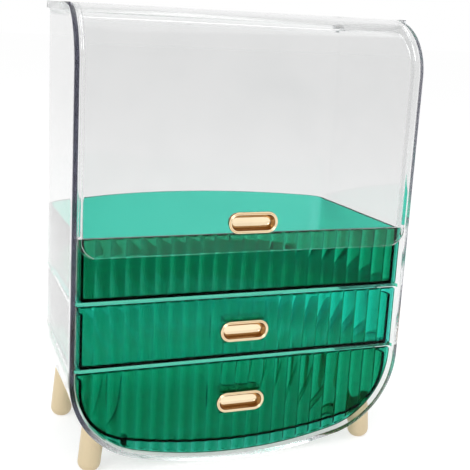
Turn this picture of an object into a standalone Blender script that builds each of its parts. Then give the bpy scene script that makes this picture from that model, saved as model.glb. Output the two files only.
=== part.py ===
"""Countertop makeup organizer: a clear case with a flip-up cover, a tray and two drawers.

Metres, +Z up, front towards -Y. The pieces are drawn with y = 0 at the front opening and
z = 0 at the lowest point of the clear case, and the finished organizer is then moved so
that its origin lies under its middle, on the surface that its feet stand on.
"""

import math

import bmesh
import bpy
from mathutils import Matrix, Vector

# Clear case
CASE_WIDTH = 0.240
CASE_HEIGHT = 0.302
CASE_DEPTH = 0.154
CASE_WALL = 0.003
SIDE_DRAFT_DEGREES = 3.75
BACK_BOW = 0.0388
REAR_CORNER_RADIUS = 0.011
LOWER_CORNER_RADIUS = 0.060
BOTTOM_CROWN_RISE = 0.00725
TOP_FRONT_RADIUS = 0.037

# Shelves of the case, heights of their undersides
UPPER_SHELF_HEIGHT = 0.1159
LOWER_SHELF_HEIGHT = 0.0709
SHELF_THICKNESS = 0.0022
SHELF_SETBACK = 0.0055

# Ledge and rims around the hinge of the cover
LEDGE_DROP = 0.007
LEDGE_THICKNESS = 0.0025
RIM_THICKNESS = 0.0025
RIM_HEIGHT = 0.0048
RIM_FILLET_HEIGHT = 0.0032
RIM_START = 0.027

# Flip-up cover
LID_THICKNESS = 0.0024
LID_OVERLAP = 0.0125
LID_CORNER_RADIUS = 0.011
LID_FLANGE_THICKNESS = 0.0025
LID_FLANGE_DEPTH = 0.008
LID_SIDE_GAP = 0.0008
BARREL_RADIUS = 0.0036
BARREL_SETBACK = 0.006
BARREL_END_GAP = 0.0006
LEDGE_GAP = 0.001
PIN_RADIUS = 0.0015
PIN_IN_LID = 0.008
PIN_IN_RIM = 0.0034

# Green tray and drawers
BOX_SIDE_MARGIN = 0.0096
BOX_DRAFT_DEGREES = 0.6
BOX_WALL = 0.002
BOX_FLOOR = 0.002
BOX_BACK_GAP = 0.0005
TRAY_HEIGHT = 0.0416
DRAWER_WALL_DROP = 0.005
LOWER_BOX_FLOOR_HEIGHT = 0.012
LOWER_BOX_CORNER_RADIUS = 0.038
LOWER_BOX_CROWN_RISE = 0.00824
LOWER_BOX_DRAFT_DEGREES = 1.4
KEEL_INSET = 0.0314
KEEL_THICKNESS = 0.002
KEEL_END_MARGIN = 0.012

# Fluted fronts
FRONT_SETBACK = 0.004
FRONT_THICKNESS = 0.0022
FRONT_SIDE_GAP = 0.0012
FRONT_CORNER_RADIUS = 0.0015
FLUTE_COUNT = 23
FLUTE_DEPTH = 0.0012
FLUTE_ROOT = 0.0002
FLUTE_MARGIN = 0.0028
FLUTE_END_ROUND = 0.003

# Pill-shaped pulls
PULL_LENGTH = 0.035
PULL_HEIGHT = 0.0145
PULL_RIM_WIDTH = 0.0022
PULL_RIM_PROUD = 0.0014
PULL_CUP_DEPTH = 0.0052
PULL_WALL = 0.0008
PULL_BEAD = 0.0005
PULL_BEAD_HEIGHT = 0.0008
PULL_ABOVE_TRAY = 0.0076
MIDDLE_PULL_HEIGHT = 0.0917
LOWER_PULL_HEIGHT = 0.0407
PULL_BOSS_MARGIN = 0.0022

# Bridge moulded behind each drawer's pull
BRIDGE_LENGTH = 0.029
BRIDGE_DEPTH = 0.0125
BRIDGE_WALL = 0.0016

# Feet and their screws
FOOT_REACH = 0.002
FOOT_TOP_RADIUS = 0.008
FOOT_BOTTOM_RADIUS = 0.0077
FOOT_END_RADIUS = 0.0062
FOOT_FLAT_DEPTH = 0.0004
FOOT_LENGTH = 0.050
FOOT_TILT_DEGREES = 6.0
FRONT_FOOT_INSET = 0.016
FRONT_FOOT_DEPTH = 0.0159
REAR_FOOT_INSET = 0.011
REAR_FOOT_DEPTH = 0.1089
PEG_RADIUS = 0.0042
PEG_BOTTOM_HEIGHT = 0.0105
FOOT_WEB = 0.003
SCREW_RADIUS = 0.00125
SCREW_HEAD_RADIUS = 0.00225
SCREW_HEAD_HEIGHT = 0.0018
SCREW_LENGTH = 0.011
SCREW_END_GAP = 0.001

# Clearances and the overrun that every cut shares
FIT_GAP = 0.0003
PIN_GAP = 0.0001
EMBED = 0.001
OVERRUN = 0.006

# Smoothness of the round forms
CORNER_STEPS = 8
CROWN_STEPS = 12
BOW_STEPS = 12
REAR_CORNER_STEPS = 4
FLUTE_STEPS = 4
TURN_STEPS = 20
SMALL_TURN_STEPS = 12
PULL_END_STEPS = 9
SHARP_ANGLE_DEGREES = 32

# Sizes and places worked out from the sizes above
BOX_WIDTH = CASE_WIDTH - 2 * BOX_SIDE_MARGIN
SIDE_SLOPE = math.tan(math.radians(SIDE_DRAFT_DEGREES))
BOX_SLOPE = math.tan(math.radians(BOX_DRAFT_DEGREES))
LOWER_BOX_SLOPE = math.tan(math.radians(LOWER_BOX_DRAFT_DEGREES))
SHELF_TOP = UPPER_SHELF_HEIGHT + SHELF_THICKNESS
TRAY_BASE = SHELF_TOP + FIT_GAP
TRAY_RIM = TRAY_BASE + TRAY_HEIGHT
LID_BOTTOM = TRAY_RIM - LID_OVERLAP
FRONT_BACK = FRONT_SETBACK + FRONT_THICKNESS
LEDGE_TOP = CASE_HEIGHT - LEDGE_DROP
HINGE_Z = CASE_HEIGHT - BARREL_RADIUS


def sagitta_radius(half_chord, rise):
    """Radius of the circle whose arc rises this much over half of its chord."""
    return (half_chord ** 2 + rise ** 2) / (2 * rise)


# Large radii, which follow the widths that their arcs span
BACK_BOW_RADIUS = sagitta_radius(CASE_WIDTH / 2, BACK_BOW)
BOTTOM_CROWN_RADIUS = LOWER_CORNER_RADIUS + sagitta_radius(
    CASE_WIDTH / 2 - LOWER_CORNER_RADIUS, BOTTOM_CROWN_RISE
)
LOWER_BOX_CROWN_RADIUS = LOWER_BOX_CORNER_RADIUS + sagitta_radius(
    BOX_WIDTH / 2 - LOWER_BOX_CORNER_RADIUS, LOWER_BOX_CROWN_RISE
)

parts = None
cutters = None


# Scene and collections

def clear_scene():
    for item in list(bpy.data.objects):
        bpy.data.objects.remove(item, do_unlink=True)


def new_collection(name):
    collection = bpy.data.collections.new(name)
    bpy.context.scene.collection.children.link(collection)
    return collection


# Materials

def material(name, colour, roughness, metallic=0.0, transmission=0.0):
    mat = bpy.data.materials.new(name)
    mat.use_nodes = True
    shader = mat.node_tree.nodes["Principled BSDF"]
    shader.inputs["Base Color"].default_value = (*colour, 1.0)
    shader.inputs["Roughness"].default_value = roughness
    shader.inputs["Metallic"].default_value = metallic
    shader.inputs["Transmission Weight"].default_value = transmission
    return mat


# Outlines

def arc(centre, radius, start, end, steps):
    """Points on a circle from one angle to another, in degrees."""
    angles = [start + (end - start) * step / steps for step in range(steps + 1)]
    return [
        (centre[0] + radius * math.cos(math.radians(a)), centre[1] + radius * math.sin(math.radians(a)))
        for a in angles
    ]


def case_half(depth):
    """Half the case's outer width at a depth: the sides narrow towards the back."""
    return CASE_WIDTH / 2 - depth * SIDE_SLOPE


def box_half(depth):
    """Half the outer width of the tray and drawer boxes at a depth."""
    return BOX_WIDTH / 2 - depth * BOX_SLOPE


def lower_box_half(depth):
    """The same for the lower drawer, which narrows with the case's round corners."""
    return BOX_WIDTH / 2 - depth * LOWER_BOX_SLOPE


def bow_depth(x, back, radius):
    """Depth of a bowed back whose middle lies at back."""
    return back - radius + math.sqrt(radius * radius - x * x)


def side_end(half_at, inset, back, bow, corner):
    """Depth at which a straight side runs into the rounded rear corner."""
    depth = back - corner
    for _ in range(40):
        depth = bow_depth(half_at(depth) - inset, back, bow) - corner
    return depth


def rear_rings(half_at, inset, back, bow, corner):
    """Half widths and setbacks of the steps round the rear corner."""
    end = side_end(half_at, inset, back, bow, corner)
    half = half_at(end) - inset
    rings = []
    for step in range(REAR_CORNER_STEPS + 1):
        angle = math.radians(90 * step / REAR_CORNER_STEPS)
        rings.append((half, corner * (1 - math.cos(angle)), corner * (1 - math.sin(angle))))
    return rings


def plan_outline(half_at, inset, front, back, bow, corner):
    """Outline seen from above: straight sides, round rear corners and a bowed back."""
    right = [(half_at(front) - inset, front)]
    for half, narrowing, setback in rear_rings(half_at, inset, back, bow, corner):
        x = half - narrowing
        right.append((x, bow_depth(x, back, bow) - setback))
    edge = right[-1][0]
    bowed = [edge * (1 - 2 * step / BOW_STEPS) for step in range(1, BOW_STEPS)]
    middle = [(x, bow_depth(x, back, bow)) for x in bowed]
    left = [(-x, y) for x, y in reversed(right)]
    return right + middle + left


def case_plan(inset, front):
    return plan_outline(
        case_half,
        inset,
        front,
        CASE_DEPTH - inset,
        BACK_BOW_RADIUS - inset,
        REAR_CORNER_RADIUS - inset,
    )


def box_plan(inset, front):
    gap = CASE_WALL + BOX_BACK_GAP + inset
    return plan_outline(
        box_half,
        inset,
        front,
        CASE_DEPTH - gap,
        BACK_BOW_RADIUS - gap,
        REAR_CORNER_RADIUS - gap,
    )


def u_outline(half, bottom, top, corner, crown):
    """Front outline: straight sides, large lower corners and a gently crowned bottom."""
    across = half - corner
    rise = math.sqrt((crown - corner) ** 2 - across ** 2)
    centre_z = bottom + crown - rise
    lean = math.degrees(math.asin(across / (crown - corner)))
    left_corner = arc((-across, centre_z), corner, 180, 270 - lean, CORNER_STEPS)
    floor = arc((0, bottom + crown), crown, 270 - lean, 270 + lean, CROWN_STEPS)
    right_corner = arc((across, centre_z), corner, 270 + lean, 360, CORNER_STEPS)
    return [(-half, top)] + left_corner + floor[1:-1] + right_corner + [(half, top)]


def round_rectangle(half, bottom, top, radius, steps):
    """Front outline of a flat panel with small round corners."""
    return (
        arc((half - radius, bottom + radius), radius, 270, 360, steps)
        + arc((half - radius, top - radius), radius, 0, 90, steps)
        + arc((radius - half, top - radius), radius, 90, 180, steps)
        + arc((radius - half, bottom + radius), radius, 180, 270, steps)
    )


def stadium(straight, radius, height, steps):
    """Pill outline, straight is half the length between the end arcs' centres."""
    return arc((straight, height), radius, -90, 90, steps) + arc((-straight, height), radius, 90, 270, steps)


# Solids from outlines, lofts and profiles

def mesh_object(name, vertices, faces, collection):
    mesh = bpy.data.meshes.new(name)
    mesh.from_pydata(vertices, [], faces)
    mesh.validate()
    build = bmesh.new()
    build.from_mesh(mesh)
    bmesh.ops.recalc_face_normals(build, faces=build.faces)
    build.to_mesh(mesh)
    build.free()
    item = bpy.data.objects.new(name, mesh)
    collection.objects.link(item)
    return item


def flat_outline(name, points, thickness):
    """A filled 2D curve given its thickness, as a welded mesh centred on z = 0."""
    curve = bpy.data.curves.new(name, "CURVE")
    curve.dimensions = "2D"
    curve.fill_mode = "BOTH"
    curve.extrude = thickness / 2
    spline = curve.splines.new("POLY")
    spline.points.add(len(points) - 1)
    for point, (a, b) in zip(spline.points, points):
        point.co = (a, b, 0.0, 1.0)
    spline.use_cyclic_u = True
    holder = bpy.data.objects.new(name, curve)
    bpy.context.scene.collection.objects.link(holder)
    graph = bpy.context.evaluated_depsgraph_get()
    mesh = bpy.data.meshes.new_from_object(holder.evaluated_get(graph))
    bpy.data.objects.remove(holder, do_unlink=True)
    build = bmesh.new()
    build.from_mesh(mesh)
    bmesh.ops.remove_doubles(build, verts=build.verts, dist=FIT_GAP / 100)
    bmesh.ops.recalc_face_normals(build, faces=build.faces)
    build.to_mesh(mesh)
    build.free()
    return mesh


def outline_solid(name, points, start, end, direction, collection):
    """A flat outline extruded from start to end along Z, Y or X."""
    mesh = flat_outline(name, points, end - start)
    middle = (start + end) / 2
    turns = {
        "Z": Matrix.Translation((0, 0, middle)),
        "Y": Matrix.Translation((0, middle, 0)) @ Matrix.Rotation(math.pi / 2, 4, "X"),
        "X": Matrix.Translation((middle, 0, 0))
        @ Matrix.Rotation(math.pi / 2, 4, "Z")
        @ Matrix.Rotation(math.pi / 2, 4, "X"),
    }
    mesh.transform(turns[direction])
    item = bpy.data.objects.new(name, mesh)
    collection.objects.link(item)
    return item


def tapered_slab(name, profile, half_at, collection):
    """A side profile (y, z) spread to both sides as far as half_at allows at each depth."""
    item = outline_solid(name, profile, -1, 1, "X", collection)
    for vertex in item.data.vertices:
        vertex.co.x = math.copysign(half_at(vertex.co.y), vertex.co.x)
    return item


def tub(name, half_at, inset, front, back, bow, corner, section, collection):
    """Closed loft of front outlines that shrink round the rear corner to a bowed back."""
    steps = rear_rings(half_at, inset, back, bow, corner)
    rings = [[(x, front, z) for x, z in section(half_at(front) - inset, 0.0)]]
    for half, narrowing, setback in steps:
        outline = section(half - narrowing, narrowing)
        rings.append([(x, bow_depth(x, back, bow) - setback, z) for x, z in outline])
    vertices = [point for ring in rings for point in ring]
    count = len(rings[0])
    faces = []
    for row in range(len(rings) - 1):
        for column in range(count):
            after = (column + 1) % count
            low, high = row * count, (row + 1) * count
            faces.append((low + column, low + after, high + after, high + column))
    faces.append(tuple(range(count)))
    rear = (len(rings) - 1) * count
    across = back_grid(rings[-1], back, bow, vertices, rear)
    faces.append(tuple(across[0]))
    for upper, lower in zip(across, across[1:]):
        faces.extend(strip_faces(upper, lower))
    return mesh_object(name, vertices, faces, collection)


def back_grid(ring, back, bow, vertices, first):
    """Rows of vertex numbers that cross the bowed back from left to right."""
    count = len(ring)
    rows = []
    for left in range((count - 1) // 2):
        right = count - 1 - left
        start, end = ring[left][0], ring[right][0]
        row = [first + left]
        for step in range(1, BOW_STEPS):
            x = start + (end - start) * step / BOW_STEPS
            row.append(len(vertices))
            vertices.append((x, bow_depth(x, back, bow), ring[left][2]))
        row.append(first + right)
        rows.append(row)
    rows.append([first + (count - 1) // 2])
    return rows


def strip_faces(upper, lower):
    if len(lower) == 1:
        return [(upper[i], upper[i + 1], lower[0]) for i in range(len(upper) - 1)]
    return [(upper[i], upper[i + 1], lower[i + 1], lower[i]) for i in range(len(upper) - 1)]


def case_form(name, inset, front, top, collection):
    """The case's outer form, or the same form moved inwards by inset."""

    def section(half, narrowing):
        moved = inset + narrowing
        return u_outline(half, moved, top, LOWER_CORNER_RADIUS - moved, BOTTOM_CROWN_RADIUS - moved)

    return tub(
        name,
        case_half,
        inset,
        front,
        CASE_DEPTH - inset,
        BACK_BOW_RADIUS - inset,
        REAR_CORNER_RADIUS - inset,
        section,
        collection,
    )


def lower_box_form(name, inset, front, top, collection):
    """The lower drawer's box, whose floor has its own crown and corners."""
    gap = CASE_WALL + BOX_BACK_GAP + inset

    def section(half, narrowing):
        moved = inset + narrowing
        return u_outline(
            half,
            LOWER_BOX_FLOOR_HEIGHT + moved,
            top,
            LOWER_BOX_CORNER_RADIUS - moved,
            LOWER_BOX_CROWN_RADIUS - moved,
        )

    return tub(
        name,
        lower_box_half,
        inset,
        front,
        CASE_DEPTH - gap,
        BACK_BOW_RADIUS - gap,
        REAR_CORNER_RADIUS - gap,
        section,
        collection,
    )


def turned(name, profile, steps, collection):
    """A solid of revolution about Z, from a profile (radius, height) listed top to bottom."""
    mesh = bpy.data.meshes.new(name)
    edges = [(i, i + 1) for i in range(len(profile) - 1)]
    mesh.from_pydata([(r, 0, z) for r, z in profile], edges, [])
    item = bpy.data.objects.new(name, mesh)
    collection.objects.link(item)
    screw = item.modifiers.new("turn", "SCREW")
    screw.axis = "Z"
    screw.steps = steps
    screw.render_steps = steps
    screw.use_merge_vertices = True
    screw.merge_threshold = FIT_GAP / 100
    screw.use_smooth_shade = True
    return item


def boolean(target, tool, operation):
    """Joins, cuts or trims the target with a tool, which is left out of the part."""
    modifier = target.modifiers.new(tool.name, "BOOLEAN")
    modifier.operation = operation
    modifier.solver = "EXACT"
    modifier.object = tool
    tool.hide_render = True
    tool.display_type = "WIRE"


def smooth_by_angle():
    """Node group that shades faces smooth and keeps the edges over SHARP_ANGLE_DEGREES sharp."""
    group = bpy.data.node_groups.new("smooth_by_angle", "GeometryNodeTree")
    group.interface.new_socket("Geometry", in_out="INPUT", socket_type="NodeSocketGeometry")
    group.interface.new_socket("Geometry", in_out="OUTPUT", socket_type="NodeSocketGeometry")
    start = group.nodes.new("NodeGroupInput")
    end = group.nodes.new("NodeGroupOutput")
    angle = group.nodes.new("GeometryNodeInputMeshEdgeAngle")
    sharp = group.nodes.new("FunctionNodeCompare")
    sharp.operation = "GREATER_THAN"
    sharp.inputs["B"].default_value = math.radians(SHARP_ANGLE_DEGREES)
    faces = group.nodes.new("GeometryNodeSetShadeSmooth")
    edges = group.nodes.new("GeometryNodeSetShadeSmooth")
    edges.domain = "EDGE"
    edges.inputs["Shade Smooth"].default_value = False
    links = group.links
    links.new(start.outputs["Geometry"], faces.inputs["Geometry"])
    links.new(angle.outputs["Unsigned Angle"], sharp.inputs["A"])
    links.new(sharp.outputs["Result"], edges.inputs["Selection"])
    links.new(faces.outputs["Geometry"], edges.inputs["Geometry"])
    links.new(edges.outputs["Geometry"], end.inputs["Geometry"])
    return group


def finish(item, mat):
    """Gives a finished piece its material and its smooth shading."""
    item.data.materials.clear()
    item.data.materials.append(mat)
    shade = item.modifiers.new("smooth_by_angle", "NODES")
    shade.node_group = bpy.data.node_groups["smooth_by_angle"]
    return item


# Side profiles, drawn as (depth, height)

def front_curve(inset, bottom, end):
    """Up the front, round the top-front corner and back along the top, moved in by inset."""
    centre = (TOP_FRONT_RADIUS, CASE_HEIGHT - TOP_FRONT_RADIUS)
    curve = arc(centre, TOP_FRONT_RADIUS - inset, 180, 90, CORNER_STEPS)
    return [(inset, bottom)] + curve + [(end, CASE_HEIGHT - inset)]


def hinge_y():
    end = side_end(case_half, 0.0, CASE_DEPTH, BACK_BOW_RADIUS, REAR_CORNER_RADIUS)
    return end - BARREL_SETBACK


def ledge_front():
    return hinge_y() + BARREL_RADIUS + LEDGE_GAP


def case_side_profile():
    """The case's walls from the side, with the step down to the ledge."""
    far = CASE_DEPTH + OVERRUN
    step = ledge_front()
    return front_curve(0.0, -OVERRUN, step) + [(step, LEDGE_TOP), (far, LEDGE_TOP), (far, -OVERRUN)]


# The clear case

def build_case(clear):
    case = case_form("outer_case", 0.0, -OVERRUN, CASE_HEIGHT + OVERRUN, parts)
    cavity = case_form("case_cavity", CASE_WALL, -2 * OVERRUN, CASE_HEIGHT + 2 * OVERRUN, cutters)
    boolean(case, cavity, "DIFFERENCE")
    trim = outline_solid("case_trim", case_side_profile(), -CASE_WIDTH, CASE_WIDTH, "X", cutters)
    boolean(case, trim, "INTERSECT")
    seat = CASE_WALL - EMBED
    for name, height in (("upper_shelf", UPPER_SHELF_HEIGHT), ("lower_shelf", LOWER_SHELF_HEIGHT)):
        outline = case_plan(seat, SHELF_SETBACK)
        shelf = outline_solid(name, outline, height, height + SHELF_THICKNESS, "Z", cutters)
        boolean(case, shelf, "UNION")
    outline = case_plan(seat, ledge_front())
    ledge = outline_solid("rear_ledge", outline, LEDGE_TOP - LEDGE_THICKNESS, LEDGE_TOP, "Z", cutters)
    boolean(case, ledge, "UNION")
    for side in (-1, 1):
        boolean(case, build_rim(side), "UNION")
        boolean(case, build_pin_hole(side), "DIFFERENCE")
    for foot in foot_places():
        boolean(case, build_peg(foot), "UNION")
    return finish(case, clear)


def build_rim(side):
    """Thickened rim along the top of a side wall, with a hollow curve under it."""
    lower = CASE_HEIGHT - RIM_HEIGHT
    hollow = [
        (
            RIM_THICKNESS * (1 - math.sin(math.radians(turn))),
            lower - RIM_FILLET_HEIGHT * (1 - math.cos(math.radians(turn))),
        )
        for turn in (0, 30, 60, 90)
    ]
    section = [(-EMBED, CASE_HEIGHT), (RIM_THICKNESS, CASE_HEIGHT)] + hollow
    section.append((-EMBED, lower - RIM_FILLET_HEIGHT))
    length = ledge_front() - RIM_START
    rim = outline_solid(f"top_rim_{side_name(side)}", section, 0.0, length, "Y", cutters)
    for vertex in rim.data.vertices:
        depth = RIM_START + vertex.co.y
        vertex.co.x = side * (case_half(depth) + vertex.co.x)
        vertex.co.y = depth
    if side < 0:
        rim.data.flip_normals()
    return rim


def build_pin_hole(side):
    """Blind hole for the hinge pin, open to the inside of the wall."""
    inner = case_half(hinge_y()) - CASE_WALL
    hole = pin_cylinder(
        f"pin_hole_{side_name(side)}",
        PIN_RADIUS + PIN_GAP,
        inner - OVERRUN,
        inner + PIN_IN_RIM + PIN_GAP,
        side,
        cutters,
    )
    return hole


def pin_cylinder(name, radius, near, far, side, collection):
    """A cylinder along X on the hinge axis, from near to far on one side."""
    bpy.ops.mesh.primitive_cylinder_add(vertices=SMALL_TURN_STEPS, radius=radius, depth=far - near)
    item = bpy.context.object
    item.name = name
    item.data.name = name
    place = Matrix.Translation((side * (near + far) / 2, 0, 0)) @ Matrix.Rotation(math.pi / 2, 4, "Y")
    item.data.transform(place)
    item.location = (0, hinge_y(), HINGE_Z)
    move_to(item, collection)
    return item


def move_to(item, collection):
    for other in list(item.users_collection):
        other.objects.unlink(item)
    collection.objects.link(item)


def side_name(side):
    return "left" if side < 0 else "right"


# Feet, their pegs and screws

def foot_places():
    """Name, place of the foot's base and the side that it leans to."""
    ends = [
        ("front", FRONT_FOOT_DEPTH, FRONT_FOOT_INSET),
        ("rear", REAR_FOOT_DEPTH, REAR_FOOT_INSET),
    ]
    places = []
    for end_name, depth, inset in ends:
        for side in (-1, 1):
            x = side * (case_half(depth) - inset)
            places.append((f"foot_{end_name}_{side_name(side)}", x, depth, side))
    return places


def foot_frame(foot):
    """Matrix of a foot's own axis: it stands on its base and leans outwards."""
    _, x, depth, side = foot
    lean = Matrix.Rotation(math.radians(-side * FOOT_TILT_DEGREES), 4, "Y")
    return Matrix.Translation((x, depth, -FOOT_REACH)) @ lean


def case_skin(name, inset):
    return case_form(name, inset, -OVERRUN, LOWER_SHELF_HEIGHT, cutters)


def build_peg(foot):
    """Round peg under the case with a pilot hole, whose top ends halfway through the wall."""
    bottom = PEG_BOTTOM_HEIGHT + FIT_GAP
    pilot_radius = SCREW_RADIUS + PIN_GAP
    pilot_top = PEG_BOTTOM_HEIGHT - FOOT_WEB + SCREW_LENGTH + SCREW_END_GAP
    profile = [
        (0, FOOT_LENGTH),
        (PEG_RADIUS, FOOT_LENGTH),
        (PEG_RADIUS, bottom),
        (pilot_radius, bottom),
        (pilot_radius, pilot_top),
        (0, pilot_top),
    ]
    peg = turned(f"{foot[0]}_peg", profile, SMALL_TURN_STEPS, cutters)
    peg.matrix_world = foot_frame(foot)
    boolean(peg, bpy.data.objects["peg_skin"], "DIFFERENCE")
    return peg


def foot_profile():
    """Tapered side and rounded end of a foot, top to bottom, a little longer than it stands."""
    slope = (FOOT_TOP_RADIUS - FOOT_BOTTOM_RADIUS) / FOOT_LENGTH
    end = arc(
        (FOOT_BOTTOM_RADIUS - FOOT_END_RADIUS, FOOT_END_RADIUS - FOOT_FLAT_DEPTH),
        FOOT_END_RADIUS,
        0,
        -90,
        CORNER_STEPS,
    )
    start = end[0][1]
    side = [(0, FOOT_LENGTH), (FOOT_BOTTOM_RADIUS + slope * (FOOT_LENGTH - start), FOOT_LENGTH)]
    return side + end + [(0, -FOOT_FLAT_DEPTH)]


def build_foot(foot, gold):
    item = turned(foot[0], foot_profile(), TURN_STEPS, parts)
    item.matrix_world = foot_frame(foot)
    boolean(item, bpy.data.objects["foot_skin"], "DIFFERENCE")
    boolean(item, bpy.data.objects["ground"], "DIFFERENCE")
    socket_radius = PEG_RADIUS + FIT_GAP
    recess_radius = SCREW_HEAD_RADIUS + FIT_GAP
    shank_radius = SCREW_RADIUS + FIT_GAP
    web_bottom = PEG_BOTTOM_HEIGHT - FOOT_WEB
    profile = [
        (0, FOOT_LENGTH + OVERRUN),
        (socket_radius, FOOT_LENGTH + OVERRUN),
        (socket_radius, PEG_BOTTOM_HEIGHT),
        (shank_radius, PEG_BOTTOM_HEIGHT),
        (shank_radius, web_bottom),
        (recess_radius, web_bottom),
        (recess_radius, -OVERRUN),
        (0, -OVERRUN),
    ]
    bore = turned(f"{foot[0]}_bore", profile, SMALL_TURN_STEPS, cutters)
    bore.matrix_world = foot_frame(foot)
    boolean(item, bore, "DIFFERENCE")
    return finish(item, gold)


def build_foot_screw(foot, steel):
    """Pan-head screw that goes up through the foot's web into the peg."""
    head_top = PEG_BOTTOM_HEIGHT - FOOT_WEB - FIT_GAP
    head_bottom = head_top - SCREW_HEAD_HEIGHT
    tip = head_top + SCREW_LENGTH
    profile = [
        (0, tip),
        (SCREW_RADIUS / 2, tip),
        (SCREW_RADIUS, tip - SCREW_RADIUS),
        (SCREW_RADIUS, head_top),
        (SCREW_HEAD_RADIUS, head_top),
        (SCREW_HEAD_RADIUS, head_bottom + SCREW_HEAD_HEIGHT / 4),
        (SCREW_HEAD_RADIUS - SCREW_HEAD_HEIGHT / 4, head_bottom),
        (SCREW_HEAD_RADIUS / 2, head_bottom),
        (0, head_bottom + SCREW_HEAD_HEIGHT / 2),
    ]
    name = foot[0].replace("foot_", "foot_screw_")
    screw = turned(name, profile, SMALL_TURN_STEPS, parts)
    screw.matrix_world = foot_frame(foot)
    return finish(screw, steel)


# Fluted fronts

def flute_layer(name, half, trim_outline, cup_height):
    """Row of convex ribs on the back of a front, trimmed to an outline and cleared round the pull."""
    pitch = 2 * half / FLUTE_COUNT
    radius = (pitch * pitch / 4 + FLUTE_DEPTH ** 2) / (2 * FLUTE_DEPTH)
    root = FRONT_BACK + FLUTE_ROOT + FLUTE_DEPTH - radius
    outline = [(half, FRONT_BACK - EMBED)]
    for x, share in flute_columns(half):
        offset = pitch * (share - 1 / 2)
        outline.append((x, root + math.sqrt(radius * radius - offset * offset)))
    outline.append((-half, FRONT_BACK - EMBED))
    layer = outline_solid(name, outline, -CASE_HEIGHT, CASE_HEIGHT, "Z", cutters)
    trim = outline_solid(f"{name}_trim", trim_outline, 0.0, CASE_DEPTH, "Y", cutters)
    boolean(layer, trim, "INTERSECT")
    if cup_height is not None:
        straight, cup = pull_sizes()
        clear = stadium(straight, cup + PULL_BOSS_MARGIN, cup_height, PULL_END_STEPS)
        boss = outline_solid(f"{name}_boss", clear, FRONT_BACK - 2 * EMBED, CASE_DEPTH, "Y", cutters)
        boolean(layer, boss, "DIFFERENCE")
    return layer


def flute_columns(half):
    """Places across the flutes, right to left, each with its share of the way across its flute."""
    pitch = 2 * half / FLUTE_COUNT
    columns = [(half, 0.0)]
    for index in range(FLUTE_COUNT):
        for step in range(1, FLUTE_STEPS + 1):
            share = step / FLUTE_STEPS
            columns.append((half - pitch * (index + share), share))
    return columns


def scalloped_top(half, top):
    """Rounded upper ends of the flutes, right to left."""
    return [
        (x, top - FLUTE_END_ROUND * (1 - math.sin(math.pi * share)))
        for x, share in flute_columns(half)
    ]


def front_half():
    return case_half(FRONT_SETBACK) - CASE_WALL - FRONT_SIDE_GAP


def straight_front(name, bottom, top, cup_height):
    """A rectangular front with its flutes, ready to be joined to its box."""
    half = front_half()
    plate_outline = round_rectangle(half, bottom, top, FRONT_CORNER_RADIUS, REAR_CORNER_STEPS)
    plate = outline_solid(f"{name}_plate", plate_outline, FRONT_SETBACK, FRONT_BACK, "Y", cutters)
    ribbed = half - FLUTE_MARGIN
    low = bottom + FLUTE_MARGIN
    trim_outline = [(-ribbed, low), (ribbed, low)] + scalloped_top(ribbed, top - FLUTE_MARGIN)
    flutes = flute_layer(f"{name}_flutes", ribbed, trim_outline, cup_height)
    return plate, flutes


def curved_front(name, top, cup_height):
    """The lower front, whose lower edge follows the inside of the case."""
    half = front_half()
    inset = CASE_WALL + FRONT_SIDE_GAP
    corner = LOWER_CORNER_RADIUS - inset
    crown = BOTTOM_CROWN_RADIUS - inset
    plate_outline = u_outline(half, inset, top, corner, crown)
    plate = outline_solid(f"{name}_plate", plate_outline, FRONT_SETBACK, FRONT_BACK, "Y", cutters)
    ribbed = half - FLUTE_MARGIN
    low = u_outline(ribbed, inset + FLUTE_MARGIN, top, corner - FLUTE_MARGIN, crown - FLUTE_MARGIN)
    flute_top = top - FLUTE_MARGIN
    below = [point for point in low if point[1] < flute_top - FLUTE_END_ROUND - FIT_GAP]
    trim_outline = below + scalloped_top(ribbed, flute_top)
    flutes = flute_layer(f"{name}_flutes", ribbed, trim_outline, cup_height)
    return plate, flutes


def cut_pull_hole(item, name, front, height):
    """Pill-shaped hole that a pull's cup passes through."""
    straight, cup = pull_sizes()
    outline = stadium(straight, cup + FIT_GAP, height, PULL_END_STEPS)
    hole = outline_solid(f"{name}_pull_hole", outline, front - OVERRUN, front + OVERRUN, "Y", cutters)
    boolean(item, hole, "DIFFERENCE")


def build_bridge(name, height):
    """U-shaped bridge that spans the back of a pull's cup, fused to the front."""
    _, cup = pull_sizes()
    near = FRONT_SETBACK + FRONT_THICKNESS / 2
    far = FRONT_SETBACK + BRIDGE_DEPTH
    inner = cup + PULL_BEAD + FIT_GAP
    outer = inner + BRIDGE_WALL
    section = [
        (near, height + outer),
        (far, height + outer),
        (far, height - outer),
        (near, height - outer),
        (near, height - inner),
        (far - BRIDGE_WALL, height - inner),
        (far - BRIDGE_WALL, height + inner),
        (near, height + inner),
    ]
    return outline_solid(name, section, -BRIDGE_LENGTH / 2, BRIDGE_LENGTH / 2, "X", cutters)


# Tray and drawers

def straight_box(name, base, top):
    """Open box with straight walls, open at the front until its fluted front is joined."""
    start = FRONT_SETBACK + FRONT_THICKNESS / 2
    box = outline_solid(name, box_plan(0.0, start), base, top, "Z", parts)
    inside = box_plan(BOX_WALL, start - OVERRUN)
    hollow = outline_solid(f"{name}_hollow", inside, base + BOX_FLOOR, top + OVERRUN, "Z", cutters)
    boolean(box, hollow, "DIFFERENCE")
    return box


def build_tray(green):
    tray = straight_box("upper_tray", TRAY_BASE, TRAY_RIM)
    for piece in straight_front("tray_front", TRAY_BASE, TRAY_RIM, None):
        boolean(tray, piece, "UNION")
    return finish(tray, green)


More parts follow.
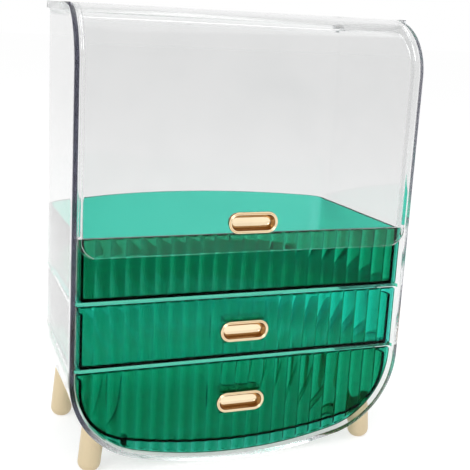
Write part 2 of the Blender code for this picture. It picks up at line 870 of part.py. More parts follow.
def build_middle_drawer(green):
    base = LOWER_SHELF_HEIGHT + SHELF_THICKNESS + FIT_GAP
    top = UPPER_SHELF_HEIGHT - FIT_GAP
    drawer = straight_box("middle_drawer", base, top - DRAWER_WALL_DROP)
    for piece in straight_front("middle_front", base, top, MIDDLE_PULL_HEIGHT):
        boolean(drawer, piece, "UNION")
    boolean(drawer, build_bridge("middle_bridge", MIDDLE_PULL_HEIGHT), "UNION")
    cut_pull_hole(drawer, "middle", FRONT_SETBACK, MIDDLE_PULL_HEIGHT)
    return finish(drawer, green)


def build_lower_drawer(green):
    top = LOWER_SHELF_HEIGHT - FIT_GAP
    start = FRONT_SETBACK + FRONT_THICKNESS / 2
    wall_top = top - DRAWER_WALL_DROP
    drawer = lower_box_form("lower_drawer", 0.0, start, wall_top, parts)
    hollow = lower_box_form("lower_drawer_hollow", BOX_WALL, start - OVERRUN, wall_top + OVERRUN, cutters)
    boolean(drawer, hollow, "DIFFERENCE")
    floor_form = case_form("keel_floor", CASE_WALL + FIT_GAP, -OVERRUN, LOWER_SHELF_HEIGHT, cutters)
    for side in (-1, 1):
        boolean(drawer, build_keel(side, floor_form), "UNION")
    for piece in curved_front("lower_front", top, LOWER_PULL_HEIGHT):
        boolean(drawer, piece, "UNION")
    boolean(drawer, build_bridge("lower_bridge", LOWER_PULL_HEIGHT), "UNION")
    cut_pull_hole(drawer, "lower", FRONT_SETBACK, LOWER_PULL_HEIGHT)
    return finish(drawer, green)


def build_keel(side, floor_form):
    """Runner under the lower drawer's floor, trimmed to just above the case's floor."""
    centre = BOX_WIDTH / 2 - KEEL_INSET
    edges = sorted((side * (centre - KEEL_THICKNESS / 2), side * (centre + KEEL_THICKNESS / 2)))
    top = crown_height(centre, LOWER_BOX_FLOOR_HEIGHT, LOWER_BOX_CROWN_RADIUS) + BOX_FLOOR / 2
    section = [(edges[0], 0.0), (edges[1], 0.0), (edges[1], top), (edges[0], top)]
    start = FRONT_BACK + KEEL_END_MARGIN / 2
    end = bow_depth(centre, CASE_DEPTH, BACK_BOW_RADIUS) - REAR_CORNER_RADIUS - KEEL_END_MARGIN
    keel = outline_solid(f"keel_{side_name(side)}", section, start, end, "Y", cutters)
    boolean(keel, floor_form, "INTERSECT")
    return keel


def crown_height(x, bottom, crown):
    return bottom + crown - math.sqrt(crown * crown - x * x)


# The cover and its hinge

def lid_half(depth):
    return case_half(depth) - CASE_WALL - LID_SIDE_GAP


def lid_inner_half(depth):
    return lid_half(depth) - LID_FLANGE_THICKNESS


def build_lid(clear):
    axis = hinge_y()
    flange_bottom = TRAY_RIM + 2 * FIT_GAP
    outer = front_curve(0.0, LID_BOTTOM, axis)
    inner = front_curve(LID_FLANGE_DEPTH, flange_bottom, axis)
    profile = outer + list(reversed(inner))
    profile += [(LID_THICKNESS, flange_bottom), (LID_THICKNESS, LID_BOTTOM)]
    lid = tapered_slab("lid_cover", profile, lid_half, parts)
    inside = front_curve(LID_THICKNESS, LID_BOTTOM - OVERRUN, axis + OVERRUN)
    inside.append((axis + OVERRUN, LID_BOTTOM - OVERRUN))
    hollow = tapered_slab("lid_hollow", inside, lid_inner_half, cutters)
    boolean(lid, hollow, "DIFFERENCE")
    half = case_half(axis + BARREL_RADIUS) - CASE_WALL - BARREL_END_GAP
    barrel = axis_cylinder("lid_barrel", BARREL_RADIUS, half, TURN_STEPS)
    boolean(lid, barrel, "UNION")
    for side in (-1, 1):
        bore = pin_cylinder(
            f"barrel_bore_{side_name(side)}",
            PIN_RADIUS + PIN_GAP,
            half - PIN_IN_LID - PIN_GAP,
            half + OVERRUN,
            side,
            cutters,
        )
        boolean(lid, bore, "DIFFERENCE")
        boolean(lid, lid_corner(side), "DIFFERENCE")
    cut_pull_hole(lid, "lid", 0.0, TRAY_RIM + PULL_ABOVE_TRAY)
    return finish(lid, clear)


def axis_cylinder(name, radius, half, steps):
    """A cylinder along X on the hinge axis, centred."""
    bpy.ops.mesh.primitive_cylinder_add(vertices=steps, radius=radius, depth=2 * half)
    item = bpy.context.object
    item.name = name
    item.data.name = name
    item.data.transform(Matrix.Rotation(math.pi / 2, 4, "Y"))
    item.location = (0, hinge_y(), HINGE_Z)
    move_to(item, cutters)
    return item


def lid_corner(side):
    """What a round lower corner takes off the cover's front."""
    half = lid_half(0.0)
    centre = (half - LID_CORNER_RADIUS, LID_BOTTOM + LID_CORNER_RADIUS)
    curve = arc(centre, LID_CORNER_RADIUS, 0, -90, CORNER_STEPS)
    outline = [(half + OVERRUN, centre[1])] + curve
    outline += [(centre[0], LID_BOTTOM - OVERRUN), (half + OVERRUN, LID_BOTTOM - OVERRUN)]
    placed = [(side * x, z) for x, z in outline]
    name = f"lid_corner_{side_name(side)}"
    return outline_solid(name, placed, -OVERRUN, LID_THICKNESS + EMBED, "Y", cutters)


def build_pin(side, steel):
    inner = case_half(hinge_y()) - CASE_WALL
    end = case_half(hinge_y() + BARREL_RADIUS) - CASE_WALL - BARREL_END_GAP
    near = end - PIN_IN_LID
    far = inner + PIN_IN_RIM
    pin = pin_cylinder(f"lid_hinge_pin_{side_name(side)}", PIN_RADIUS, near, far, side, parts)
    return finish(pin, steel)


# Pulls

def pull_sizes():
    """Half the straight length of the pill and the radius of the cup behind the front."""
    straight = (PULL_LENGTH - PULL_HEIGHT) / 2
    return straight, PULL_HEIGHT / 2 - PULL_RIM_WIDTH + PULL_WALL


def pull_profile(front, thickness):
    """Radius and depth of each ring, from the back of the cup round the rim to the cup's floor."""
    _, cup = pull_sizes()
    outer = PULL_HEIGHT / 2
    rim_back = front - FIT_GAP
    rim_front = front - PULL_RIM_PROUD
    hollow = cup - PULL_WALL
    floor = front + PULL_CUP_DEPTH
    back = floor + PULL_WALL
    bead = front + thickness + FIT_GAP
    middle = outer - PULL_RIM_WIDTH / 2
    swell = PULL_RIM_WIDTH / 2
    rise = rim_back - rim_front
    rim = [
        (
            middle + swell * math.cos(math.radians(turn)),
            rim_back - rise * math.sin(math.radians(turn)),
        )
        for turn in (0, 30, 60, 90, 120, 150)
    ]
    return [
        (cup - PULL_WALL, back),
        (cup, back - PULL_WALL),
        (cup, bead + PULL_BEAD_HEIGHT),
        (cup + PULL_BEAD, bead + PULL_BEAD_HEIGHT / 2),
        (cup, bead),
        (cup, rim_back),
    ] + rim + [
        (hollow, front),
        (hollow - PULL_WALL / 2, floor - PULL_WALL),
        (hollow - PULL_WALL, floor),
    ]


def build_pull(name, front, thickness, height, gold):
    """Loft of pill outlines: a cup with a snap bead and a raised round rim."""
    straight, _ = pull_sizes()
    rings = []
    for radius, depth in pull_profile(front, thickness):
        outline = stadium(straight, radius, height, PULL_END_STEPS)
        rings.append([(x, depth, z) for x, z in outline])
    count = len(rings[0])
    vertices = [point for ring in rings for point in ring]
    faces = [tuple(range(count)), tuple(range(len(vertices) - count, len(vertices)))]
    for row in range(len(rings) - 1):
        for column in range(count):
            after = (column + 1) % count
            low, high = row * count, (row + 1) * count
            faces.append((low + column, low + after, high + after, high + column))
    return finish(mesh_object(name, vertices, faces, parts), gold)


# Bodies that move, each carried by an empty on its joint

def carry(name, place, children):
    empty = bpy.data.objects.new(name, None)
    empty.location = place
    parts.objects.link(empty)
    bpy.context.view_layer.update()
    for child in children:
        world = child.matrix_world.copy()
        child.parent = empty
        child.matrix_parent_inverse = empty.matrix_world.inverted()
        child.matrix_world = world
    return empty


def stand_on_feet():
    """Moves all pieces and their tools so that the origin is under the middle of the organizer."""
    base = bpy.data.objects.new("organizer_base", None)
    base.location = (0, (PULL_RIM_PROUD - CASE_DEPTH) / 2, FOOT_REACH)
    for item in list(parts.objects) + list(cutters.objects):
        if item.parent is None:
            item.parent = base
    parts.objects.link(base)


def main():
    global parts, cutters
    clear_scene()
    parts = new_collection("makeup_organizer")
    cutters = new_collection("cutters")
    smooth_by_angle()
    clear = material("clear_plastic", (0.90, 0.91, 0.93), 0.04, transmission=1.0)
    green = material("green_plastic", (0.02, 0.45, 0.30), 0.05, transmission=0.9)
    gold = material("polished_gold", (0.90, 0.68, 0.42), 0.12, metallic=1.0)
    satin = material("champagne_gold", (0.82, 0.66, 0.43), 0.38, metallic=0.8)
    steel = material("steel", (0.60, 0.60, 0.62), 0.30, metallic=1.0)

    case_skin("foot_skin", -FIT_GAP)
    case_skin("peg_skin", CASE_WALL / 2)
    ground_outline = [(-CASE_WIDTH, -CASE_DEPTH), (CASE_WIDTH, -CASE_DEPTH)]
    ground_outline += [(CASE_WIDTH, 2 * CASE_DEPTH), (-CASE_WIDTH, 2 * CASE_DEPTH)]
    outline_solid("ground", ground_outline, -FOOT_REACH - OVERRUN, -FOOT_REACH, "Z", cutters)

    build_case(clear)
    build_tray(green)
    for foot in foot_places():
        build_foot(foot, satin)
        build_foot_screw(foot, steel)
    for side in (-1, 1):
        build_pin(side, steel)
    lid = build_lid(clear)
    middle = build_middle_drawer(green)
    lower = build_lower_drawer(green)
    lid_pull = build_pull("lid_pull", 0.0, LID_THICKNESS, TRAY_RIM + PULL_ABOVE_TRAY, gold)
    middle_pull = build_pull(
        "middle_drawer_pull", FRONT_SETBACK, FRONT_THICKNESS, MIDDLE_PULL_HEIGHT, gold
    )
    lower_pull = build_pull("lower_drawer_pull", FRONT_SETBACK, FRONT_THICKNESS, LOWER_PULL_HEIGHT, gold)
    carry("lid_hinge_axis", Vector((0, hinge_y(), HINGE_Z)), [lid, lid_pull])
    carry("middle_drawer_track", Vector((0, FRONT_SETBACK, LOWER_SHELF_HEIGHT)), [middle, middle_pull])
    carry("lower_drawer_track", Vector((0, FRONT_SETBACK, 0)), [lower, lower_pull])
    stand_on_feet()


main()
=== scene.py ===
import math
import bmesh
import bpy
import numpy as np
from mathutils import Matrix, Vector


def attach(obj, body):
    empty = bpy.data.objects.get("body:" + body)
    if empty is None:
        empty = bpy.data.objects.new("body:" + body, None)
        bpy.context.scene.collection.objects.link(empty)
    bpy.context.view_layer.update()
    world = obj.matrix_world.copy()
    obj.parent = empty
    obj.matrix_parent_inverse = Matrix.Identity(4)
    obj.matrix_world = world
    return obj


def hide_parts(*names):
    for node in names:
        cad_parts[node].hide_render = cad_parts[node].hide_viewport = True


# Makeup organizer: clear case, flip-up cover, fluted green tray and drawers, gold pulls and feet.
# Every piece is drawn with its front at y = 0 and the case's lowest point at z = 0, then placed.
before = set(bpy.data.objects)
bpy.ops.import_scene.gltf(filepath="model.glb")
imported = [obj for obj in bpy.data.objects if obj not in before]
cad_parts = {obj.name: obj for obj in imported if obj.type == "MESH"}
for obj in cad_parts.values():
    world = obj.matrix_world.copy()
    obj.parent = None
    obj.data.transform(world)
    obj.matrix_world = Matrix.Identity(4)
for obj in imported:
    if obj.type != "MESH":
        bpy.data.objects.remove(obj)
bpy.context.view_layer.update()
drawnOrigin = np.array([0.0, -0.0763, 0.002])
weldDistance = {"grids": 2e-6, "cuts": 1e-6}
print("frame loaded:", len(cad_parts), "nodes")


# Shared shape tools

def smoothStep(value):
    # 0 below 0, 1 above 1, and 3v^2 - 2v^3 between
    v = np.clip(value, 0.0, 1.0)
    return v * v * (3 - 2 * v)


def sagittaRadius(halfChord, rise):
    # radius of the circle whose arc rises this much over half its chord
    return (halfChord ** 2 + rise ** 2) / (2 * rise)


def gridQuads(rows, cols, wrapRows, wrapCols):
    # corner numbers of a grid's cells; where it wraps, the last row or column joins the first
    r = np.arange(rows if wrapRows else rows - 1)
    c = np.arange(cols if wrapCols else cols - 1)
    low, left = np.meshgrid(r, c, indexing="ij")
    high, right = (low + 1) % rows, (left + 1) % cols
    corners = [low * cols + left, low * cols + right, high * cols + right, high * cols + left]
    return np.stack(corners, -1).reshape(-1, 4)


def addObject(name, data):
    made = bpy.data.objects.new(name, data)
    bpy.context.scene.collection.objects.link(made)
    return made


def weld(build, distance):
    bmesh.ops.remove_doubles(build, verts=build.verts, dist=distance)
    bmesh.ops.dissolve_degenerate(build, edges=build.edges, dist=distance)


def shadeByAngle(mesh, angle):
    mesh.shade_smooth()
    mesh.set_sharp_from_angle(angle=math.radians(angle))


def meshFromGrids(name, grids, caps=(), angle=30.0):
    # grids are (points, wrapRows, wrapCols); caps are closed loops of points that a flat face fills
    points, faces, first = [], [], 0
    for grid, wrapRows, wrapCols in grids:
        rows, cols = grid.shape[:2]
        points.append(grid.reshape(-1, 3))
        faces += (gridQuads(rows, cols, wrapRows, wrapCols) + first).tolist()
        first += rows * cols
    for cap in caps:
        points.append(cap)
        faces.append(list(range(first, first + len(cap))))
        first += len(cap)
    placed = np.concatenate(points) + drawnOrigin
    mesh = bpy.data.meshes.new(name)
    mesh.from_pydata(placed.tolist(), [], faces)
    build = bmesh.new()
    build.from_mesh(mesh)
    weld(build, weldDistance["grids"])
    bmesh.ops.recalc_face_normals(build, faces=build.faces)
    build.to_mesh(mesh)
    build.free()
    shadeByAngle(mesh, angle)
    return addObject(name, mesh)


def combine(piece, steps, angle=30.0):
    # joins or cuts the piece with each (tool, operation) in turn, removes the tools and closes the mesh
    for tool, operation in steps:
        change = piece.modifiers.new(tool.name, "BOOLEAN")
        change.operation = operation
        change.solver = "EXACT"
        change.object = tool
    graph = bpy.context.evaluated_depsgraph_get()
    mesh = bpy.data.meshes.new_from_object(piece.evaluated_get(graph))
    piece.modifiers.clear()
    piece.data = mesh
    for tool, _ in steps:
        bpy.data.objects.remove(tool, do_unlink=True)
    build = bmesh.new()
    build.from_mesh(mesh)
    weld(build, weldDistance["cuts"])
    gaps = [edge for edge in build.edges if len(edge.link_faces) == 1]
    if gaps:
        bmesh.ops.holes_fill(build, edges=gaps)
    openEdges = sum(1 for edge in build.edges if len(edge.link_faces) != 2)
    volume = round(build.calc_volume() * 1e6, 1)
    build.to_mesh(mesh)
    build.free()
    shadeByAngle(mesh, angle)
    print("  ", piece.name, len(mesh.polygons), "faces,", openEdges, "open edges,", volume, "ml")
    return piece


def wallSolid(name, outer, inner, bulge, closed=False, power=0.45, angle=30.0, roundSteps=6):
    # two matching grids joined by a rim, round at power 1 and a flat bar with eased edges near 0.4:
    # middle + half * |cos|^power + outwards * bulge * |sin|^power, where bulge is one size or a rule
    def path(grid, shift):
        parts = [grid[::-1, shift], grid[shift, 1:], grid[1:, -1 - shift]]
        if closed:
            parts.append(grid[-1 - shift, -2:0:-1])
        return np.concatenate(parts)

    edgeOut, edgeIn = path(outer, 0), path(inner, 0)
    middle, half = (edgeOut + edgeIn) / 2, (edgeOut - edgeIn) / 2
    ring = middle if closed else middle[:-1]
    along = np.roll(ring, -1, axis=0) - np.roll(ring, 1, axis=0)
    if not closed:
        along = np.concatenate([along, along[:1]])
    away = np.cross(along, edgeOut - edgeIn)  # square to the edge and to the wall's thickness
    away /= np.maximum(np.linalg.norm(away, axis=1, keepdims=True), 1e-12)
    away *= np.sign(np.sum(away * (edgeOut - path(outer, 1))))
    size = bulge(middle) if callable(bulge) else bulge
    turn = np.linspace(0, math.pi, roundSteps + 1)[:, None, None]
    across = np.sign(np.cos(turn)) * np.abs(np.cos(turn)) ** power
    outwards = np.abs(np.sin(turn)) ** power
    rim = middle + half * across + away * size * outwards
    rim[0], rim[-1] = edgeOut, edgeIn
    grids = [(outer, False, False), (inner, False, False), (rim, False, closed)]
    return meshFromGrids(name, grids, angle=angle)


def loopSolid(name, loops, angle=30.0):
    # closed loops stacked on each other, with a flat face over the first and the last
    return meshFromGrids(name, [(np.stack(loops), False, True)], [loops[0], loops[-1]], angle)


def dress(piece, node, body, material):
    # gives a finished piece its material, the solid it replaces and its moving body
    piece.data.materials.clear()
    piece.data.materials.append(material)
    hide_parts(node)
    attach(piece, body)
    return piece


# Finishes

def setInputs(tree, node, inputs):
    # an input is a socket to link from or a plain value
    for socket, value in inputs.items():
        if isinstance(value, bpy.types.NodeSocket):
            tree.links.new(value, node.inputs[socket])
        else:
            node.inputs[socket].default_value = value


def addNode(tree, kind, inputs=None, **settings):
    # settings come first, because they decide which sockets a node has
    node = tree.nodes.new("ShaderNode" + kind)
    for name, value in settings.items():
        setattr(node, name, value)
    setInputs(tree, node, inputs or {})
    return node


def addMath(tree, operation, *values, clamp=False):
    return addNode(tree, "Math", dict(enumerate(values)), operation=operation, use_clamp=clamp).outputs[0]


def addRamp(tree, value, start, end, low=0.0, high=1.0, shape="SMOOTHSTEP"):
    inputs = {"Value": value, "From Min": start, "From Max": end, "To Min": low, "To Max": high}
    return addNode(tree, "MapRange", inputs, interpolation_type=shape).outputs["Result"]


def addMix(tree, mask, first, second, kind="RGBA"):
    return addNode(tree, "Mix", {"Factor": mask, "A": first, "B": second}, data_type=kind).outputs["Result"]


def addGroup(tree, name, inputs):
    return addNode(tree, "Group", inputs, node_tree=bpy.data.node_groups[name]).outputs


def newGroup(name, inputs, outputs):
    # the group, what comes in, and the node that what it makes goes into
    group = bpy.data.node_groups.new(name, "ShaderNodeTree")
    for way, sockets in (("INPUT", inputs), ("OUTPUT", outputs)):
        for socket in sockets:
            kind = "NodeSocketVector" if socket == "Vector" else "NodeSocketFloat"
            group.interface.new_socket(socket, in_out=way, socket_type=kind)
    return group, group.nodes.new("NodeGroupInput").outputs, group.nodes.new("NodeGroupOutput")


wear = {
    "waveDetail": 1.5, "hairlineTurn": (0.3, 0.2, 0.9), "hairlineStretch": (900.0, 30.0, 60.0),
    "hairlineDetail": 3.0, "hairlineRange": (0.60, 0.76), "hairlineShare": 0.5,
    "smudgeScale": 26.0, "smudgeDetail": 4.0, "smudgeRange": (0.48, 0.78),
}


def mouldedSurface():
    # slow waves of moulded plastic, fine hairlines from wiping, and soft smudges
    group, given, made = newGroup(
        "mouldedSurface", ("Vector", "Wave Scale", "Smooth Roughness", "Worn Roughness"),
        ("Height", "Roughness", "Wear"))
    waves = addNode(group, "TexNoise", {
        "Vector": given["Vector"], "Scale": given["Wave Scale"], "Detail": wear["waveDetail"]})
    stretch = addNode(group, "Mapping", {
        "Vector": given["Vector"], "Rotation": wear["hairlineTurn"], "Scale": wear["hairlineStretch"]})
    hairlines = addNode(group, "TexNoise", {
        "Vector": stretch.outputs["Vector"], "Scale": 1.0, "Detail": wear["hairlineDetail"]})
    smudges = addNode(group, "TexNoise", {
        "Vector": given["Vector"], "Scale": wear["smudgeScale"], "Detail": wear["smudgeDetail"]})
    wiped = addRamp(group, hairlines.outputs["Fac"], *wear["hairlineRange"], shape="LINEAR")
    smudged = addRamp(group, smudges.outputs["Fac"], *wear["smudgeRange"], shape="LINEAR")
    worn = addMath(group, "MULTIPLY_ADD", wiped, wear["hairlineShare"], smudged, clamp=True)
    rough = addMix(group, worn, given["Smooth Roughness"], given["Worn Roughness"], "FLOAT")
    setInputs(group, made, {"Height": waves.outputs["Fac"], "Roughness": rough, "Wear": worn})


fluteLight = {"pitch": 0.009908, "plateRear": -0.0685, "phase": 100.5, "fall": (0.08, 0.62)}


def fluteShade():
    # painted light and shade over the plate's flutes along X: 1 just past each ridge, falling to 0 (painted
    # shade) across the flute; 1 behind the plate
    group, given, made = newGroup("fluteShade", ("Vector", "Pitch", "Depth"), ("Light",))
    place = addNode(group, "SeparateXYZ", {"Vector": given["Vector"]}).outputs
    flute = addMath(group, "DIVIDE", place["X"], given["Pitch"])
    share = addMath(group, "FRACT", addMath(group, "ADD", flute, fluteLight["phase"]))  # one in the middle
    fall = addRamp(group, share, *fluteLight["fall"], low=1.0, high=0.0)
    behind = addMath(group, "GREATER_THAN", place["Y"], given["Depth"])
    setInputs(group, made, {"Light": addMath(group, "MAXIMUM", fall, behind)})


edgePlaces = {
    "Centre": 0.0965, "Half Gap": 0.0225, "Half Thickness": 0.00115, "Depth": -0.0690,
    "Half Width": 0.1168, "Left Depth": -0.0735, "Left Start": -0.070, "Left End": -0.112,
    "Arc Start": 0.267, "Arc Radius": 0.037,
}


def paintedEdgeLightAndShade():
    # Shelf: 1 on the front edges of two like shelves, | |z - centre| - half gap | < half thickness, where
    # painted green light goes
    # Left: 1 down the left wall's front edge, easing to 0 round the corner below it, where painted dark shade
    # goes
    group, given, made = newGroup("paintedEdgeLightAndShade", ("Vector", *edgePlaces), ("Shelf", "Left"))
    place = addNode(group, "SeparateXYZ", {"Vector": given["Vector"]}).outputs

    def step(operation, *values):
        return addMath(group, operation, *values)

    height = step("ABSOLUTE", step("SUBTRACT", place["Z"], given["Centre"]))
    off = step("ABSOLUTE", step("SUBTRACT", height, given["Half Gap"]))
    level = step("LESS_THAN", off, given["Half Thickness"])
    near = step("LESS_THAN", place["Y"], given["Depth"])
    between = step("LESS_THAN", step("ABSOLUTE", place["X"]), given["Half Width"])
    shelf = step("MULTIPLY", step("MULTIPLY", level, near), between)
    leftwards = addRamp(group, place["X"], given["Left Start"], given["Left End"])
    # over the top corner the edge falls back: radius - sqrt(radius^2 - rise^2)
    radius = given["Arc Radius"]
    rise = step("MAXIMUM", step("SUBTRACT", place["Z"], given["Arc Start"]), 0.0)
    rise = step("MINIMUM", rise, radius)
    left = step("SUBTRACT", step("MULTIPLY", radius, radius), step("MULTIPLY", rise, rise))
    fallBack = step("SUBTRACT", radius, step("SQRT", left))
    foremost = step("LESS_THAN", step("SUBTRACT", place["Y"], fallBack), given["Left Depth"])
    setInputs(group, made, {"Shelf": shelf, "Left": step("MULTIPLY", leftwards, foremost)})


def newMaterial(name, look):
    # a material whose roughness follows the wear; gives its tree, shader, places, tone and waves too
    material = bpy.data.materials.new(name)
    material.use_nodes = True
    tree = material.node_tree
    shader = tree.nodes["Principled BSDF"]
    place = addNode(tree, "TexCoord").outputs
    surface = addGroup(tree, "mouldedSurface", {
        "Vector": place["Object"], "Wave Scale": look["waveScale"],
        "Smooth Roughness": look["smooth"], "Worn Roughness": look["worn"]})
    setInputs(tree, shader, {"Roughness": surface["Roughness"]})
    tone = addMix(tree, surface["Wear"], (*look["colour"], 1.0), (*look["wornColour"], 1.0))
    return material, tree, shader, place, tone, surface["Height"]


def addBump(tree, shader, height, look):
    bump = addNode(tree, "Bump", {
        "Height": height, "Strength": look["bumpStrength"], "Distance": look["bumpDistance"]})
    setInputs(tree, shader, {"Normal": bump.outputs["Normal"]})


def clearMaterial(name, look):
    # see-through plastic: glass with a tint, absorption in its depth, and light that reaches what is behind
    material, tree, shader, place, tone, waves = newMaterial(name, look)
    addBump(tree, shader, waves, look)
    if "fluteShadeColour" in look:
        # painted shade: each flute darkens across its width towards the flute colour, lighter just past its
        # ridge
        flutes = addGroup(tree, "fluteShade", {
            "Vector": place["Object"], "Pitch": fluteLight["pitch"], "Depth": fluteLight["plateRear"]})
        tone = addMix(tree, flutes["Light"], (*look["fluteShadeColour"], 1.0), tone)
    if "shelfPaintedLight" in look:
        # painted light and shade: green light on the shelves' front edges, dark shade down the left wall's
        # front edge
        edges = addGroup(tree, "paintedEdgeLightAndShade", {"Vector": place["Object"], **edgePlaces})
        tone = addMix(tree, edges["Shelf"], tone, (*look["shelfPaintedLight"], 1.0))
        # painted shade down the left wall's front edge
        tone = addMix(tree, edges["Left"], tone, (*look["leftPaintedShade"], 1.0))
    setInputs(tree, shader, {
        "Base Color": tone, "IOR": look["ior"], "Transmission Weight": 1.0,
        "Specular Tint": (look["shine"], look["shine"], look["shine"], 1.0)})
    through = addNode(tree, "BsdfTransparent", {"Color": (*look["shadowTint"], 1.0)})
    path = addNode(tree, "LightPath")
    lit = addNode(tree, "MixShader", {
        0: path.outputs["Is Shadow Ray"], 1: shader.outputs["BSDF"], 2: through.outputs["BSDF"]})
    depth = addNode(tree, "VolumeAbsorption", {
        "Color": (*look["depthColour"], 1.0), "Density": look["density"]})
    setInputs(tree, tree.nodes["Material Output"], {
        "Surface": lit.outputs["Shader"], "Volume": depth.outputs["Volume"]})
    return material


def metalMaterial(name, look):
    # plated or coated metal: tone drifts a little, wear roughens it, its grain is fine where stretched
    material, tree, shader, place, tone, _ = newMaterial(name, look)
    if "steepShadeColour" in look:  # painted shade: flanks of ridges and cups, turned away from the front, are painted darker than what faces forwards
        facing = addNode(tree, "SeparateXYZ", {"Vector": place["Normal"]}).outputs["Y"]
        tone = addMix(tree, addRamp(tree, facing, *look["steepShadeRange"]), tone, (*look["steepShadeColour"], 1.0))
    stretch = addNode(tree, "Mapping", {"Vector": place["Object"], "Scale": look["grainScale"]})
    grain = addNode(tree, "TexNoise", {
        "Vector": stretch.outputs["Vector"], "Scale": 1.0, "Detail": look["grainDetail"]})
    addBump(tree, shader, grain.outputs["Fac"], look)
    setInputs(tree, shader, {"Base Color": tone, "Metallic": look["metallic"]})
    return material


mouldedSurface()
fluteShade()
paintedEdgeLightAndShade()
clearLook = {
    "colour": (0.865, 0.867, 0.867), "wornColour": (0.84, 0.845, 0.845),
    "shadowTint": (0.93, 0.935, 0.94), "depthColour": (0.34, 0.37, 0.44), "density": 0.3,
    "ior": 1.46, "shine": 0.3, "smooth": 0.0, "worn": 0.03, "waveScale": 9.0,
    "bumpStrength": 0.25, "bumpDistance": 0.0006,
}
clearCover = clearMaterial("clearCover", clearLook)
# the case's clear plastic, with painted green light on its shelf edges and painted shade down its left edge
clearCase = clearMaterial("clearCase", {
    **clearLook, "shelfPaintedLight": (0.012, 0.36, 0.18), "leftPaintedShade": (0.010, 0.010, 0.018),
})
greenLook = {
    "colour": (0.90, 0.97, 0.97), "wornColour": (0.86, 0.94, 0.94),
    "shadowTint": (0.15, 0.72, 0.56), "depthColour": (0.0, 0.86, 0.75), "density": 1150.0,
    "ior": 1.49, "shine": 0.08, "smooth": 0.0, "worn": 0.03, "waveScale": 12.0,
    # the flute colour is painted shade across each flute
    "bumpStrength": 0.2, "bumpDistance": 0.0005, "fluteShadeColour": (0.42, 0.66, 0.60),
}
deepGreen = clearMaterial("deepGreen", greenLook)  # tray and lower drawer
paleGreen = clearMaterial("paleGreen", {  # middle drawer
    **greenLook, "colour": (0.92, 0.98, 0.98), "wornColour": (0.88, 0.95, 0.95),
    "shadowTint": (0.20, 0.80, 0.66), "depthColour": (0.0, 0.90, 0.83), "density": 1000.0,
    # a lighter painted shade across the middle drawer's flutes
    "shine": 0.14, "fluteShadeColour": (0.60, 0.80, 0.76),
})
polishedGold = metalMaterial("polishedGold", {
    "colour": (0.93, 0.76, 0.52), "wornColour": (0.88, 0.71, 0.48), "metallic": 1.0,
    # painted shade on the flanks of the pulls' ridges and cups
    "steepShadeColour": (0.36, 0.21, 0.085), "steepShadeRange": (-0.88, -0.40),
    "smooth": 0.12, "worn": 0.22, "waveScale": 40.0, "grainScale": (60.0, 60.0, 2600.0),
    "grainDetail": 3.0, "bumpStrength": 0.10, "bumpDistance": 0.0001,
})
champagneSatin = metalMaterial("champagneSatin", {
    "colour": (0.80, 0.66, 0.43), "wornColour": (0.76, 0.62, 0.41), "metallic": 0.55,
    "smooth": 0.34, "worn": 0.46, "waveScale": 60.0, "grainScale": (1800.0, 1800.0, 1800.0),
    "grainDetail": 3.0, "bumpStrength": 0.06, "bumpDistance": 0.0001,
})
screwSteel = metalMaterial("screwSteel", {
    "colour": (0.58, 0.58, 0.60), "wornColour": (0.48, 0.48, 0.49), "metallic": 1.0,
    "smooth": 0.25, "worn": 0.42, "waveScale": 80.0, "grainScale": (900.0, 900.0, 5000.0),
    "grainDetail": 3.0, "bumpStrength": 0.12, "bumpDistance": 0.0001,
})
print("finishes made")


# Clear case

case = {
    "width": 0.240, "height": 0.302, "depth": 0.154, "wall": 0.003,
    "draft": math.tan(math.radians(3.75)), "backBow": 0.0388, "rearCorner": 0.011,
    "lowerCorner": 0.060, "crownRise": 0.00725, "topFront": 0.037,
    "upperShelf": 0.1159, "lowerShelf": 0.0709, "shelfThickness": 0.0022, "shelfSetback": 0.0055,
    "shelfRound": 0.15, "ledgeDrop": 0.007, "ledgeThickness": 0.0025, "ledgeSkin": 0.0002,
    "stepWidth": 0.0004, "stepRows": (0.0001, 0.0002, 0.0003, 0.0004, 0.0006), "stepFlat": (0.0008, 0.0012),
    "rimThickness": 0.0025, "rimHeight": 0.0048, "rimFillet": 0.0032, "rimEase": 0.0006,
    "rimStart": 0.027, "rimGrowth": 0.016, "rimLead": 0.0015, "rimEndGap": 0.0001,
    "embed": 0.001, "edgeRound": 0.0003, "frontRound": 0.0014,
    "barrelRadius": 0.0036, "barrelSetback": 0.006, "ledgeGap": 0.001,
}
rowCount = {"arc": 18, "side": 5, "corner": 28, "floor": 24}
columnCount = {"corner": 8, "back": 22}
case["bowRadius"] = sagittaRadius(case["width"] / 2, case["backBow"])
flatHalf = case["width"] / 2 - case["lowerCorner"]
case["crown"] = case["lowerCorner"] + sagittaRadius(flatHalf, case["crownRise"])


def caseHalf(y):
    # half the case's width, which the draft of its sides narrows towards the back
    return case["width"] / 2 - y * case["draft"]


def bowDepth(x, back, bow):
    # depth of the bowed back: back - bow + sqrt(bow^2 - x^2)
    return back - bow + np.sqrt(bow ** 2 - np.square(x))


def sideEnd(halfAt, inset, back, bow, corner):
    # depth where a straight side runs into the round rear corner
    depth = back - corner
    for step in range(40):
        depth = bowDepth(halfAt(depth) - inset, back, bow) - corner
    return depth


hingeY = sideEnd(caseHalf, 0.0, case["depth"], case["bowRadius"], case["rearCorner"]) - case["barrelSetback"]
hingeZ = case["height"] - case["barrelRadius"]
ledgeFront = hingeY + case["barrelRadius"] + case["ledgeGap"]


